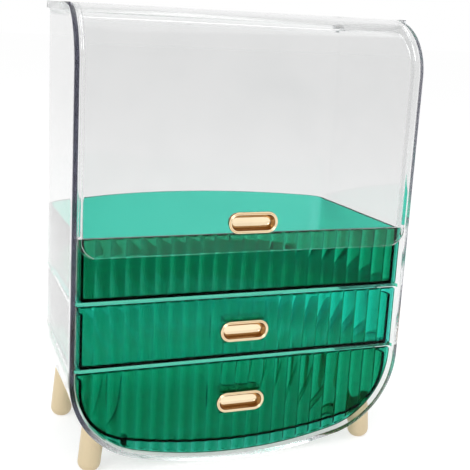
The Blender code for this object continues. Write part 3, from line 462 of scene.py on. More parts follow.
def uSection(share, half, bottom, top, corner, crown):
    # left half of the front outline, from 0 at the top of the side to 3 at the middle of the floor:
    # straight to 1, round the lower corner to 2, along the crowned floor to 3
    across = half - corner
    rise = np.sqrt((crown - corner) ** 2 - across ** 2)
    cornerZ = bottom + crown - rise
    lean = np.arcsin(across / (crown - corner))
    straight, around, under = np.clip(share, 0, 1), np.clip(share - 1, 0, 1), np.clip(share - 2, 0, 1)
    turn = math.pi + around * (math.pi / 2 - lean)
    roll = 1.5 * math.pi - lean * (1 - under)
    cornerX, floorX = -across + corner * np.cos(turn), crown * np.cos(roll)
    x = np.where(share <= 1, -half, np.where(share <= 2, cornerX, floorX))
    bendZ, floorZ = cornerZ + corner * np.sin(turn), bottom + crown + crown * np.sin(roll)
    z = np.where(share <= 1, top + (cornerZ - top) * straight, np.where(share <= 2, bendZ, floorZ))
    return x, z


def uShell(share, halfAt, inset, frontY, back, bow, corner, section, startY, sideShares):
    # grid of a tub that lies on its back: each row runs from the front along a side, round the
    # rear corner and across the bowed back; rows go from the top edge down to the floor's middle
    end = sideEnd(halfAt, inset, back, bow, corner)
    rows = share[:, None]
    frontX, frontZ = section(rows, halfAt(frontY) - inset, 0.0)
    firstX, firstZ = section(rows, halfAt(end) - inset, 0.0)
    firstY = bowDepth(firstX, back, bow) - corner
    sideY = sideShares(startY, firstY)
    mix = (sideY - frontY) / (firstY - frontY)
    side = np.stack([frontX + (firstX - frontX) * mix, sideY, frontZ + (firstZ - frontZ) * mix], -1)
    angle = np.linspace(0, math.pi / 2, columnCount["corner"] + 1)[None, 1:]
    narrowing, setback = corner * (1 - np.cos(angle)), corner * (1 - np.sin(angle))
    roundX, roundZ = section(rows + 0 * angle, halfAt(end) - inset - narrowing, narrowing)
    turnPart = np.stack([roundX, bowDepth(roundX, back, bow) - setback, roundZ], -1)
    across = np.linspace(0, 1, columnCount["back"] + 1)[None, 1:]
    backX = roundX[:, -1:] * (1 - across)
    rear = np.stack([backX, bowDepth(backX, back, bow), roundZ[:, -1:] + 0 * across], -1)
    left = np.concatenate([side, turnPart, rear], 1)
    right = left[:, -2::-1] * np.array([-1.0, 1.0, 1.0])
    return np.concatenate([left, right], 1)


def caseGrid(inset):
    # one face of the case's wall, moved in by inset; the first rows follow the top-front corner's arc
    top = case["height"] - case["edgeRound"]
    arcZ = case["height"] - case["topFront"]
    arc = np.linspace(math.pi / 2, 0, rowCount["arc"] + 1)
    cornerTop = uSection(np.array([1.0]), caseHalf(0) - inset, inset, arcZ,
                         case["lowerCorner"] - inset, case["crown"] - inset)[1][0]
    arcHeights = arcZ + (top - arcZ) * np.sin(arc)
    sideHeights = np.concatenate([arcHeights, np.linspace(arcZ, cornerTop, rowCount["side"] + 1)[1:]])
    cornerShare = np.linspace(1, 2, rowCount["corner"] + 1)[1:-1]
    floorShare = np.linspace(2, 3, rowCount["floor"] + 1)
    share = np.concatenate([(top - sideHeights) / (top - cornerTop), cornerShare, floorShare])
    startY = np.zeros(len(share))
    startY[:len(arc)] = case["topFront"] * (1 - np.cos(arc))
    startY = (startY + case["frontRound"])[:, None]
    before = ledgeFront - case["stepWidth"] / 2

    def section(s, half, narrowing):
        moved = inset + narrowing
        return uSection(s, half, moved, top, case["lowerCorner"] - moved, case["crown"] - moved)

    def sideShares(startY, firstY):
        # even columns up to the ledge's step, close ones over it, and two behind it
        rows, past = np.array([case["stepRows"]]), case["stepRows"][-1]
        first = startY + np.linspace(0, 1, 15)[None, :] * (before - startY)
        last = before + past + np.array([[0.5, 1.0]]) * (firstY - before - past)
        return np.concatenate([first, before + rows + 0 * startY, last], 1)

    grid = uShell(share, caseHalf, inset, 0.0, case["depth"] - inset, case["bowRadius"] - inset,
                  case["rearCorner"] - inset, section, startY, sideShares)
    # behind the cover's hinge the walls stand lower: heights over the arc's start shrink there
    drop = smoothStep((grid[..., 1] - before) / case["stepWidth"]) * case["ledgeDrop"]
    over = np.clip((grid[..., 2] - arcZ) / (top - arcZ), 0, 1)
    grid[..., 2] -= drop * over
    return grid


def planLoop(halfAt, inset, frontY, back, bow, corner, z, cornerSteps=8, backSteps=40):
    # closed outline seen from above: straight sides, round rear corners and a bowed back
    end = sideEnd(halfAt, inset, back, bow, corner)
    angle = np.linspace(0, math.pi / 2, cornerSteps + 1)
    x = halfAt(end) - inset - corner * (1 - np.cos(angle))
    y = bowDepth(x, back, bow) - corner * (1 - np.sin(angle))
    x = np.concatenate([[halfAt(frontY) - inset], x])
    y = np.concatenate([[frontY], y])
    backX = np.linspace(x[-1], -x[-1], backSteps + 1)[1:-1]
    loopX = np.concatenate([x, backX, -x[::-1]])
    loopY = np.concatenate([y, bowDepth(backX, back, bow), y[::-1]])
    return np.stack([loopX, loopY, np.full_like(loopX, z)], -1)


def slab(name, low, high, frontY, roundShare):
    # a shelf cut to the inside of the case, its front edge a share of a half round:
    # front + (radius - sqrt(radius^2 - height^2)) * share
    inset = case["wall"] - case["embed"]
    middle, radius = (low + high) / 2, (high - low) / 2
    loops = []
    for h in radius * np.sin(np.linspace(-math.pi / 2, math.pi / 2, 9)):
        edgeY = frontY + (radius - math.sqrt(max(radius ** 2 - h ** 2, 0.0))) * roundShare
        loops.append(planLoop(caseHalf, inset, edgeY, case["depth"] - inset, case["bowRadius"] - inset,
                              case["rearCorner"] - inset, middle + h))
    return loopSolid(name, loops)


def topRim(side):
    # thick rim along the top of a side wall: a flat bar with a hollow curve under it, carried along y
    top, wide, ease, under = case["height"], case["rimThickness"], case["rimEase"], case["rimFillet"]
    lower = top - case["rimHeight"]
    hollow, bend = np.linspace(0, math.pi / 2, 9), np.linspace(0, math.pi / 2, 5)
    px = np.concatenate([[-case["embed"]], wide - ease * (1 - np.sin(bend)), wide * (1 - np.sin(hollow)),
                         [-case["embed"]]])
    pz = np.concatenate([[top], top - ease * (1 - np.cos(bend)), lower - under * (1 - np.cos(hollow)),
                         [lower - under]])
    loops = []
    for y in np.linspace(case["rimStart"], ledgeFront - case["rimEndGap"], 12):
        grown = smoothStep((y - case["rimStart"] + case["rimLead"]) / case["rimGrowth"])  # out of the wall
        reach = np.where(px > 0, px * grown, px)
        loops.append(np.stack([side * (caseHalf(y) + reach), np.full_like(px, y), pz], -1))
    return loopSolid("rimTool", loops)


def caseRound(edge):
    # forwards the edge is well rounded, upwards only eased, and the ledge's step stays flat
    flat, easing = case["stepFlat"]
    forwards = case["frontRound"] * (edge[:, 1] < ledgeFront / 2)
    upwards = case["edgeRound"] * smoothStep((np.abs(edge[:, 1] - ledgeFront) - flat) / easing)
    return np.stack([forwards, forwards, upwards], -1)


caseShell = wallSolid("case_shell", caseGrid(0.0), caseGrid(case["wall"]), bulge=caseRound, power=0.9,
                      roundSteps=14)
shelfTop = case["upperShelf"] + case["shelfThickness"]
ledgeTop = case["height"] - case["ledgeDrop"]
ledgeBase = ledgeTop - case["ledgeThickness"]
combine(caseShell, [
    (slab("upperShelfTool", case["upperShelf"], shelfTop, case["shelfSetback"], case["shelfRound"]), "UNION"),
    (slab("lowerShelfTool", case["lowerShelf"], case["lowerShelf"] + case["shelfThickness"],
          case["shelfSetback"], case["shelfRound"]), "UNION"),
    (slab("ledgeTool", ledgeBase, ledgeTop - case["ledgeSkin"], ledgeFront, 1), "UNION"),
    (topRim(-1), "UNION"),
    (topRim(1), "UNION"),
])
dress(caseShell, "outer_case", "case", clearCase)
print("case made")


# Fluted tray and drawers

box = {
    "sideMargin": 0.0068, "draft": math.tan(math.radians(2.15)), "wall": 0.002, "floor": 0.002,
    "backGap": 0.0005, "trayHeight": 0.0416, "wallDrop": 0.005, "trayDrop": 0.0001, "fitGap": 0.0003,
    "footRound": 0.0012, "floorFillet": 0.0015, "frontLap": 0.0009,
    "lowFloor": 0.012, "lowCorner": 0.038, "lowCrownRise": 0.00824, "lowRound": 0.0003,
    "lowDraft": math.tan(math.radians(2.95)),
    "keelInset": 0.0342, "keelThickness": 0.002, "keelStart": 0.0122, "keelEnd": 0.118, "keelLevel": 0.105,
}
front = {
    "setback": 0.004, "thickness": 0.0020, "sideGap": 0.0012, "corner": 0.0015, "flutes": 23,
    "depth": 0.0012, "margin": 0.0016, "columns": 14, "fade": 0.0012, "sideFade": 0.0001,
    "bossMargin": 0.0012, "edgeRound": 0.0004, "rowHeight": 0.0008, "edgeShare": 0.45,
    "edgeRows": (0, .3, .6, 1.0, 1.4, 1.8, 2.2, 2.6, 3.0, 3.4, 3.8, 4.3, 4.9, 5.6, 6.4, 7.4),  # mm
}
pull = {
    "length": 0.035, "height": 0.0145, "rimWidth": 0.0022, "rimProud": 0.0014, "cupDepth": 0.0052,
    "cupFillet": 0.0032, "wall": 0.0008, "aboveTray": 0.0076, "middleZ": 0.0917, "lowerZ": 0.0407,
    "gap": 0.0003, "cutBefore": 0.003, "cutBehind": 0.006, "bridge": 0.029, "bridgeDepth": 0.0125,
    "bridgeWall": 0.0016, "bridgeGap": 0.0008, "bridgeEase": 0.0007,
    "groove": 0.48, "grooveAt": 88, "grooveWidth": 17.0, "rimPower": 0.8,
    "backEase": (0.0003, 0.0002, 0.0006), "cupLip": 0.0002, "cupInset": 0.0005,
}
boxWidth = case["width"] - 2 * box["sideMargin"]
lowCrown = box["lowCorner"] + sagittaRadius(boxWidth / 2 - box["lowCorner"], box["lowCrownRise"])
plateRoot = front["setback"] + front["thickness"] / 2
trayBase = shelfTop + box["fitGap"]
trayRim = trayBase + box["trayHeight"]
lowTop = case["lowerShelf"] - box["fitGap"] - box["wallDrop"]
straightPart = (pull["length"] - pull["height"]) / 2
cupRadius = pull["height"] / 2 - pull["rimWidth"] + pull["wall"]


def boxHalf(y):
    # half the width of the tray and the middle drawer
    return boxWidth / 2 - y * box["draft"]


def lowBoxHalf(y):
    # half the width of the lower drawer, which draws in more
    return boxWidth / 2 - y * box["lowDraft"]


def pillDistance(x, z, height):
    # distance from the straight line between the pill's two end centres
    return np.hypot(np.maximum(np.abs(x) - straightPart, 0.0), z - height)


def pillLoop(radius, y, height, steps=24):
    # outline of a pill at one depth: two half circles joined by straight lines
    turn = np.radians(np.linspace(-90, 90, steps + 1))
    x = np.concatenate([straightPart + radius * np.cos(turn), -straightPart - radius * np.cos(turn)])
    z = height + np.concatenate([radius * np.sin(turn), -radius * np.sin(turn)])
    return np.stack([x, np.full_like(x, y), z], -1)


def pillHole(height, frontY):
    # tool that cuts the hole for a pull's cup through a front
    return loopSolid("pillTool", [
        pillLoop(cupRadius + pull["gap"], frontY - pull["cutBefore"], height),
        pillLoop(cupRadius + pull["gap"], frontY + pull["cutBehind"], height)])


def bridge(height):
    # U-shaped bridge across the back of a pull's cup, its far edges rounded
    far, wall, ease = front["setback"] + pull["bridgeDepth"], pull["bridgeWall"], pull["bridgeEase"]
    inner = cupRadius + pull["bridgeGap"]
    outer = inner + wall
    turn = np.radians(np.linspace(0, 90, 5))
    bendY, bendZ = far - ease + ease * np.sin(turn), outer - ease + ease * np.cos(turn)
    near, inside = plateRoot, far - wall
    y = np.concatenate([[near], bendY, bendY[::-1], [near, near, inside, inside, near]])
    z = np.concatenate([[outer], bendZ, -bendZ[::-1], [-outer, -inner, -inner, inner, inner]])
    ends = (-pull["bridge"] / 2, pull["bridge"] / 2)
    return loopSolid("bridgeTool", [np.stack([np.full_like(y, x), y, height + z], -1) for x in ends])


def underside(x, half, bottom, corner, crown):
    # height of a round-cornered, crowned floor: bottom + crown - sqrt(crown^2 - x^2) up to the joint,
    # then bottom + crown - rise - sqrt(corner^2 - (|x| - across)^2)
    far, across = np.abs(x), half - corner
    rise = np.sqrt((crown - corner) ** 2 - across ** 2)
    joint = crown * across / (crown - corner)
    floor = bottom + crown - np.sqrt(crown ** 2 - np.minimum(far, joint) ** 2)
    bend = bottom + crown - rise - np.sqrt(np.maximum(corner ** 2 - (far - across) ** 2, 0.0))
    return np.where(far < joint, floor, bend)


def skinHeight(x, y, inset):
    # underside of the case's form, moved in by inset
    return underside(x, caseHalf(y) - inset, inset, case["lowerCorner"] - inset, case["crown"] - inset)


def flutedFront(name, bottom, top, pullZ, curved):
    # front plate as two sheets over x and z; the rear one carries flutes whose section is an arc:
    # depth * (1 - (2 share - 1)^2), faded out at both ends and round the pull
    eased = front["edgeRound"]
    half = caseHalf(front["setback"]) - case["wall"] - front["sideGap"] - eased
    ribbed = half + eased - front["margin"]
    pitch = 2 * ribbed / front["flutes"]
    inner = np.linspace(-ribbed, ribbed, front["flutes"] * front["columns"] + 1)
    inset = case["wall"] + front["sideGap"] + eased
    small = front["corner"]
    corner = case["lowerCorner"] - inset if curved else small
    lean = np.arcsin((ribbed - (half - corner)) / corner) if curved else 0.0
    outerX = half - corner + corner * np.sin(np.linspace(lean, math.pi / 2, 9)[1:])
    if not curved:
        outerX = np.concatenate([[(ribbed + half - corner) / 2], outerX])
    x = np.concatenate([-outerX[::-1], inner, outerX])
    roundedBy = np.sqrt(np.maximum(small ** 2 - np.maximum(np.abs(x) - half + small, 0) ** 2, 0))
    low = skinHeight(x, front["setback"], inset) if curved else bottom + eased + small - roundedBy
    high = top - eased - small + roundedBy
    edge = np.array(front["edgeRows"]) * 0.001
    limit = np.minimum(1.0, (high - low)[None, :] * front["edgeShare"] / edge[-1])
    lowRows = low[None, :] + edge[:, None] * limit
    highRows = high[None, :] - edge[::-1, None] * limit
    middleRows = int((np.max(high - low) - 2 * edge[-1]) / front["rowHeight"])
    share = np.linspace(0, 1, middleRows + 2)[1:-1, None]
    z = np.concatenate([lowRows, lowRows[-1:] + (highRows[:1] - lowRows[-1:]) * share, highRows])
    xs = np.broadcast_to(x[None, :], z.shape)
    inFlute = np.clip((xs + ribbed) / pitch, 0, front["flutes"] - 1e-9)
    arch = 1 - (2 * (inFlute - np.floor(inFlute)) - 1) ** 2
    ends = smoothStep((top - eased - z) / front["fade"])
    ends = ends * smoothStep((z - low[None, :]) / front["fade"])
    ends = ends * smoothStep((ribbed - np.abs(xs)) / front["sideFade"] + 1e-6)
    if pullZ is not None:
        around = pillDistance(xs, z, pullZ) - cupRadius - front["bossMargin"]
        ends = ends * smoothStep(around / front["fade"])
    rear = front["thickness"] + ends * front["depth"] * arch
    faceY = np.full_like(z, front["setback"])
    return wallSolid(name, np.stack([xs, faceY, z], -1), np.stack([xs, faceY + rear, z], -1), closed=True,
                     bulge=eased, angle=35.0)


def boxWalls(name, base, top):
    # straight box as stacked outlines: under the floor, up the outside, over the rim, down the inside
    gap = case["wall"] + box["backGap"]
    radius, under, fillet = box["wall"] / 2, box["footRound"], box["floorFillet"]

    def outline(inset, z, frontY):
        moved = gap + inset
        return planLoop(boxHalf, inset, frontY, case["depth"] - moved, case["bowRadius"] - moved,
                        case["rearCorner"] - moved, z)

    loops = []
    for turn in np.radians([90, 68, 45, 22, 0]):  # round lower edge
        loops.append(outline(under * (1 - math.cos(turn)), base + under * (1 - math.sin(turn)), plateRoot))
    for turn in np.radians([0, 30, 60, 90, 120, 150, 180]):  # round rim
        inset = radius - radius * math.cos(turn)
        lap = box["frontLap"] * inset / box["wall"]
        loops.append(outline(inset, top - radius + radius * math.sin(turn), plateRoot + lap))
    for turn in np.radians([0, 30, 60, 90]):  # fillet at the floor
        inset = box["wall"] + fillet * (1 - math.cos(turn))
        height = base + box["floor"] + fillet * (1 - math.sin(turn))
        loops.append(outline(inset, height, plateRoot + box["frontLap"]))
    return loopSolid(name, loops)


def straightDrawer(name, base, top, wallTop, pullZ):
    # a box, its fluted front, and where it has a pull the bridge and the hole for it
    steps = [(flutedFront(name + "Front", base, top, pullZ, False), "UNION")]
    if pullZ is not None:
        steps.append((bridge(pullZ), "UNION"))
        steps.append((pillHole(pullZ, front["setback"]), "DIFFERENCE"))
    return combine(boxWalls(name, base, wallTop), steps, 24.0)


def lowGrid(inset):
    # one face of the lower drawer's tub, moved in by inset
    gap = case["wall"] + box["backGap"] + inset
    share = np.concatenate([np.linspace(0, 1, 4), np.linspace(1, 2, 21)[1:], np.linspace(2, 3, 25)[1:]])

    def section(s, half, narrowing):
        moved = inset + narrowing
        return uSection(s, half, box["lowFloor"] + moved, lowTop, box["lowCorner"] - moved, lowCrown - moved)

    def sideShares(startY, firstY):
        return startY + (firstY - startY) * np.linspace(0, 1, 8)[None, :]

    return uShell(share, lowBoxHalf, inset, plateRoot, case["depth"] - gap, case["bowRadius"] - gap,
                  case["rearCorner"] - gap, section, plateRoot + 0 * share[:, None], sideShares)


def keel(side):
    # runner under the lower drawer: its lower edge follows the case's floor, its top lies in the drawer's
    middle = boxWidth / 2 - box["keelInset"]
    xs = middle + box["keelThickness"] / 2 * np.array([-1.0, 1.0, 1.0, -1.0])
    loops = []
    for y in np.linspace(box["keelStart"], box["keelEnd"], 24):
        lower = skinHeight(xs[:2], min(y, box["keelLevel"]), case["wall"] + box["fitGap"])
        floor = underside(xs[0], lowBoxHalf(y), box["lowFloor"], box["lowCorner"], lowCrown)
        upper = floor + box["floor"] / 2
        z = np.array([lower[0], lower[1], upper, upper])
        loops.append(np.stack([side * xs, np.full(4, y), z], -1))
    return loopSolid("keelTool", loops)


middleBase = case["lowerShelf"] + case["shelfThickness"] + box["fitGap"]
middleTop = case["upperShelf"] - box["fitGap"]
tray = straightDrawer("fluted_tray", trayBase, trayRim, trayRim - box["trayDrop"], None)
dress(tray, "upper_tray", "case", deepGreen)
middleDrawer = straightDrawer("fluted_middle_drawer", middleBase, middleTop, middleTop - box["wallDrop"],
                              pull["middleZ"])
dress(middleDrawer, "middle_drawer", "drawer_middle", paleGreen)
lowerDrawer = wallSolid("fluted_lower_drawer", lowGrid(0.0), lowGrid(box["wall"]), bulge=box["lowRound"])
combine(lowerDrawer, [
    (keel(-1), "UNION"), (keel(1), "UNION"),
    (flutedFront("lowerFrontTool", None, case["lowerShelf"] - box["fitGap"], pull["lowerZ"], True), "UNION"),
    (bridge(pull["lowerZ"]), "UNION"),
    (pillHole(pull["lowerZ"], front["setback"]), "DIFFERENCE"),
], 32.0)
dress(lowerDrawer, "lower_drawer", "drawer_lower", deepGreen)
print("tray and drawers made")


# Flip-up cover

cover = {
    "thickness": 0.0024, "overlap": 0.0125, "corner": 0.011, "flange": 0.0025, "flangeDepth": 0.008,
    "sideGap": 0.0008, "barrelEnd": 0.0006, "barrelEase": 0.0004, "edgeRound": 0.0006, "fillet": 0.0010,
    "lowerBevel": 0.0003, "bevelHeight": 0.0005, "flangeRise": 0.0006, "flangeGrowth": (0.0004, 0.0008),
    "edgeRows": (0, 0.0002, 0.0005, 0.0009), "flangeRows": (-0.0009, -0.0004, 0, 0.0003, 0.0008),
    "panelStart": 0.004,
}


def coverHalf(y):
    # half the cover's width, a gap inside the case's walls
    return caseHalf(y) - case["wall"] - cover["sideGap"]


def coverSolid():
    # channel section carried up the front, round the top-front corner and back to the hinge
    bottom = trayRim - cover["overlap"]
    flangeZ = trayRim + cover["flangeRise"]
    arcR, thick = case["topFront"], cover["thickness"]
    arcZ = case["height"] - arcR
    turn = np.linspace(0, math.pi / 2, 12)
    cornerZ = bottom + cover["corner"] * (1 - np.cos(turn))
    frontZ = np.concatenate([
        bottom + np.array(cover["edgeRows"]), cornerZ[cornerZ > bottom + 0.001],
        flangeZ + np.array(cover["flangeRows"]), np.linspace(flangeZ + cover["panelStart"], arcZ, 14)])
    frontZ = np.unique(np.round(frontZ, 7))
    arc = np.linspace(0, math.pi / 2, 33)[1:]
    topY = np.linspace(arcR, hingeY, 10)[1:]
    baseY = np.concatenate([0 * frontZ, arcR * (1 - np.cos(arc)), topY])
    baseZ = np.concatenate([frontZ, arcZ + arcR * np.sin(arc), np.full_like(topY, case["height"])])
    intoY = np.concatenate([np.ones_like(frontZ), np.cos(arc), 0 * topY])
    intoZ = np.concatenate([0 * frontZ, -np.sin(arc), -np.ones_like(topY)])
    below = np.clip(1 - (baseZ - bottom) / cover["corner"], 0, 1)
    cut = cover["corner"] * (1 - np.sqrt(np.maximum(1 - below ** 2, 0)))  # round lower corners
    cut = np.where(baseY > 0, 0.0, cut)
    early, growth = cover["flangeGrowth"]
    flanged = np.where(baseY > 0, 1.0, smoothStep((baseZ - flangeZ + early) / growth))
    depth = thick + (cover["flangeDepth"] - thick) * flanged
    pinch = cover["lowerBevel"] * np.clip(1 - (baseZ - bottom) / cover["bevelHeight"], 0, 1)  # lower edge
    pinch = np.where(baseY > 0, 0.0, pinch)
    flange, eased = cover["flange"], cover["edgeRound"]
    fillet = np.minimum(cover["fillet"], np.maximum(depth - thick, 0.0))
    columns = []  # (how far in from the side, how deep from the outer face), from inside to outside
    ease = [(1 - np.cos(a), 1 - np.sin(a)) for a in np.radians([0, 22, 45, 68, 90])]
    for start, end in ease:
        columns.append((flange + fillet * end, thick - pinch + fillet * start))
    for start, end in ease:
        columns.append((flange - eased * start, depth - eased * end))
    for start, end in ease:
        columns.append((eased * end, depth - eased * start))
    for start, end in ease:
        columns.append((eased * start, eased * end + pinch))

    def along(x, deep):
        return np.stack([x, baseY + intoY * deep, baseZ + intoZ * deep], -1)

    rightSide = []
    for inFrom, deep in columns:
        deep = np.maximum(deep, pinch)
        rightSide.append(along(coverHalf(baseY + intoY * deep) - cut - inFrom, deep))
    leftSide = [points * np.array([-1.0, 1.0, 1.0]) for points in rightSide[::-1]]
    rows = [along(0 * baseY, thick - pinch)] + rightSide + [along(0 * baseY, pinch)] + leftSide
    return loopSolid("flip_cover", np.stack(rows, 1))


def barrel():
    # hinge barrel: a cylinder along X with round ends
    half = caseHalf(hingeY + case["barrelRadius"]) - case["wall"] - cover["barrelEnd"]
    turn = np.linspace(0, 2 * math.pi, 49)[:-1]
    ease = cover["barrelEase"]
    ends = [(-half, -ease), (-half + ease, 0.0), (half - ease, 0.0), (half, -ease)]
    loops = []
    for x, shrink in ends:
        radius = case["barrelRadius"] + shrink
        loops.append(np.stack([np.full_like(turn, x), hingeY + radius * np.cos(turn),
                               hingeZ + radius * np.sin(turn)], -1))
    return loopSolid("barrelTool", loops)


coverPiece = coverSolid()
combine(coverPiece, [
    (barrel(), "UNION"),
    (pillHole(trayRim + pull["aboveTray"], 0.0), "DIFFERENCE"),
])
dress(coverPiece, "lid_cover", "lid", clearCover)
print("cover made")


# Pulls

def pullPiece(name, frontY, height):
    # pill-shaped rings from the back of the cup round a double-ridged rim to the cup's floor
    floor = frontY + pull["cupDepth"]
    back = floor + pull["wall"]
    hollow, ridge = cupRadius - pull["wall"], pull["rimWidth"] / 2
    rimBack = frontY - pull["gap"]
    rise = rimBack - (frontY - pull["rimProud"])
    middle = pull["height"] / 2 - ridge
    easeX, easeY, easeEnd = pull["backEase"]
    profile = [(hollow, back), (cupRadius - easeX, back - easeY), (cupRadius, back - easeEnd),
               (cupRadius, rimBack)]
    for degrees in np.linspace(0, 172, 26):
        turn = math.radians(degrees)
        groove = 1 - pull["groove"] * math.exp(-((degrees - pull["grooveAt"]) / pull["grooveWidth"]) ** 2)
        proud = rise * math.sin(turn) ** pull["rimPower"] * groove
        profile.append((middle + ridge * math.cos(turn), rimBack - proud))
    profile.append((hollow, frontY - pull["cupLip"]))
    radius = pull["cupFillet"]
    for turn in np.radians(np.linspace(0, 90, 9)):
        side = hollow - pull["cupInset"] - radius * (1 - math.cos(turn))
        profile.append((side, floor - radius * (1 - math.sin(turn))))
    return loopSolid(name, [pillLoop(reach, y, height, 28) for reach, y in profile], 42.0)


pulls = [
    ("cover_pull", 0.0, trayRim + pull["aboveTray"], "lid_pull", "lid"),
    ("middle_pull", front["setback"], pull["middleZ"], "middle_drawer_pull", "drawer_middle"),
    ("lower_pull", front["setback"], pull["lowerZ"], "lower_drawer_pull", "drawer_lower"),
]
for name, frontY, height, node, body in pulls:
    dress(pullPiece(name, frontY, height), node, body, polishedGold)
print("pulls made")


# Feet

foot = {
    "reach": 0.002, "topRadius": 0.008, "bottomRadius": 0.0077, "endRadius": 0.0062, "length": 0.050,
    "flat": 0.0004, "tilt": math.radians(6.0), "frontInset": 0.016, "rearInset": 0.011,
    "frontY": 0.0159, "rearY": 0.1089, "gap": 0.0003, "recess": 0.00255, "recessTop": 0.0075,
}


def underCase(x, y, inset):
    # underside of the case's form, also round its rear corners, where its side draws in
    end = sideEnd(caseHalf, 0.0, case["depth"], case["bowRadius"], case["rearCorner"])
    far = np.minimum(y, end)
    beyond = np.clip((y - end) / case["rearCorner"], 0, 0.98)
    narrowing = case["rearCorner"] * (1 - np.sqrt(1 - beyond ** 2))
    return skinHeight(x, far, inset + narrowing)


def footPiece(name, y, inset, side):
    # turned about its leaning axis: recess, flat ring, round end, taper, and a top cut by the case
    turn = np.linspace(0, 2 * math.pi, 73)[:-1]
    slope = (foot["topRadius"] - foot["bottomRadius"]) / foot["length"]
    lowest = math.asin(1 - foot["flat"] / foot["endRadius"])
    end = np.linspace(-lowest, 0, 16)
    endR = foot["bottomRadius"] - foot["endRadius"] + foot["endRadius"] * np.cos(end)
    endH = foot["endRadius"] - foot["flat"] + foot["endRadius"] * np.sin(end)
    radius = np.concatenate([[0.0, foot["recess"], foot["recess"]], endR])
    height = np.concatenate([[foot["recessTop"], foot["recessTop"], 0.0], endH])
    baseX = side * (caseHalf(y) - inset)
    lean = side * foot["tilt"]

    def place(radial, h):
        # a point of the turned form after the lean; what would lie under the floor is cut flat
        across = side * radial * np.cos(turn)
        x = baseX + across * math.cos(lean) - h * math.sin(lean)
        z = -foot["reach"] + across * math.sin(lean) + h * math.cos(lean)
        return np.stack([x, y + radial * np.sin(turn), np.maximum(z, -foot["reach"])], -1)

    def topAt(share):
        # height along the axis at which a ring of this share of the radius meets the case
        h = np.full_like(turn, 0.03)
        for step in range(30):
            ring = place(share * (foot["bottomRadius"] + slope * (h - endH[-1])), h)
            h = h + underCase(ring[:, 0], ring[:, 1], -foot["gap"]) - ring[:, 2]
        return h

    rows = [place(r + 0 * turn, h + 0 * turn) for r, h in zip(radius, height)]
    top = topAt(1.0)
    for share in np.linspace(0, 1, 13)[1:]:
        h = endH[-1] + (top - endH[-1]) * share
        rows.append(place(foot["bottomRadius"] + slope * (h - endH[-1]), h))
    for share in (0.9, 0.75, 0.5, 0.25, 0.0):
        h = topAt(share)
        rows.append(place(share * (foot["bottomRadius"] + slope * (h - endH[-1])), h))
    rows[-1] = np.tile(rows[-1].mean(axis=0), (len(turn), 1))
    return meshFromGrids(name, [(np.stack(rows), False, True)], angle=38.0)


for endName in ("front", "rear"):
    for sideName, side in (("left", -1), ("right", 1)):
        corner = endName + "_" + sideName
        piece = footPiece("leg_" + corner, foot[endName + "Y"], foot[endName + "Inset"], side)
        dress(piece, "foot_" + corner, "case", champagneSatin)
for name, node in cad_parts.items():
    if "screw" in name or "pin" in name:
        node.data.materials.clear()
        node.data.materials.append(screwSteel)
print("feet made")


# Stage, light and camera

stage = {
    "floorColour": (0.50, 0.50, 0.50), "floorGlow": 0.68, "floorRoughness": 0.9, "reach": 8.0,
    "worldSeen": 1.0, "worldLight": 0.62,
    "softBoxes": (  # name, place, what it points at, size, watts
        ("keySoftBox", (-0.9, -0.7, 1.3), (0, 0, 0.12), 0.9, 9.0),
        ("topSoftBox", (0.3, 0.2, 1.6), (0, 0, 0.1), 1.2, 6.0)),
    "bounces": {"max_bounces": 200, "glossy_bounces": 200, "transmission_bounces": 60,
                "transparent_max_bounces": 24},  # light that the clear walls guide to their edges
}


def seenDirectly(tree):
    # 1 for the camera and for whatever metal or glass shows, 0 for the light that falls on the object
    rays = addNode(tree, "LightPath").outputs
    mirrored = addMath(tree, "ADD", rays["Is Glossy Ray"], rays["Is Transmission Ray"], clamp=True)
    return addMath(tree, "ADD", rays["Is Camera Ray"], mirrored, clamp=True)


def floorMaterial():
    # pale floor that keeps shadows and looks white
    material = bpy.data.materials.new("paleFloor")
    material.use_nodes = True
    tree = material.node_tree
    setInputs(tree, tree.nodes["Principled BSDF"], {
        "Base Color": (*stage["floorColour"], 1.0), "Roughness": stage["floorRoughness"],
        "Specular IOR Level": 0.0, "Emission Color": (1.0, 1.0, 1.0, 1.0),
        "Emission Strength": addMath(tree, "MULTIPLY", seenDirectly(tree), stage["floorGlow"])})
    return material


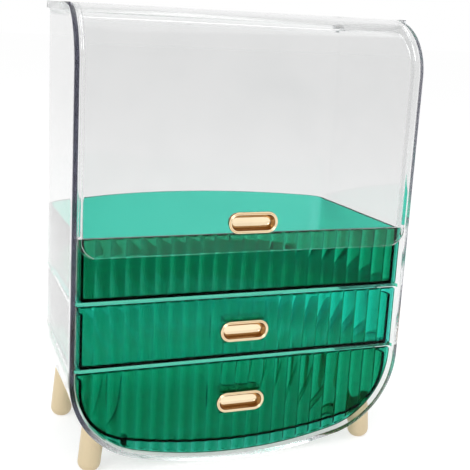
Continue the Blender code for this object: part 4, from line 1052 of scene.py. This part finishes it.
floorMesh = bpy.data.meshes.new("floor")
reach = stage["reach"]
floorMesh.from_pydata([(-reach, -reach, 0), (reach, -reach, 0), (reach, reach, 0), (-reach, reach, 0)],
                      [], [(0, 1, 2, 3)])
floor = addObject("floor", floorMesh)
floor.data.materials.append(floorMaterial())

world = bpy.data.worlds.new("studio")
bpy.context.scene.world = world
world.use_nodes = True
tree = world.node_tree
level = addMix(tree, seenDirectly(tree), stage["worldLight"], stage["worldSeen"], "FLOAT")
setInputs(tree, tree.nodes["Background"], {"Color": (1.0, 1.0, 1.0, 1.0), "Strength": level})

for name, place, target, size, watts in stage["softBoxes"]:
    lamp = bpy.data.lights.new(name, "AREA")
    lamp.shape, lamp.size, lamp.size_y, lamp.energy = "RECTANGLE", size, size, watts
    holder = addObject(name, lamp)
    holder.location = place
    holder.rotation_euler = (Vector(target) - Vector(place)).to_track_quat("-Z", "Y").to_euler()

camera = {
    "place": (-0.24881, -0.56527, 0.30317), "yaw": math.radians(22.69), "pitch": math.radians(13.18),
    "roll": math.radians(-3.23), "focalPixels": 964.1, "imagePixels": 470, "sensor": 36,
}
yaw, pitch, roll = camera["yaw"], camera["pitch"], camera["roll"]
ahead = np.array([math.sin(yaw) * math.cos(pitch), math.cos(yaw) * math.cos(pitch), -math.sin(pitch)])
right = np.array([math.cos(yaw), -math.sin(yaw), 0.0])
down = np.cross(ahead, right)
imageRight = math.cos(roll) * right + math.sin(roll) * down
imageDown = -math.sin(roll) * right + math.cos(roll) * down
eye = np.array(camera["place"]) + drawnOrigin
turned = Matrix(np.stack([imageRight, -imageDown, -ahead], 1).tolist()).to_4x4()
lens = bpy.data.cameras.new("camera")
lens.lens = camera["focalPixels"] / camera["imagePixels"] * camera["sensor"]
lens.sensor_width = camera["sensor"]
lens.clip_start, lens.clip_end = 0.01, 50.0
viewer = addObject("camera", lens)
viewer.matrix_world = Matrix.Translation(Vector(eye.tolist())) @ turned
bpy.context.scene.camera = viewer
bpy.context.scene.view_settings.view_transform = "Standard"
for limit, count in stage["bounces"].items():
    setattr(bpy.context.scene.cycles, limit, count)
print("stage, light and camera set")
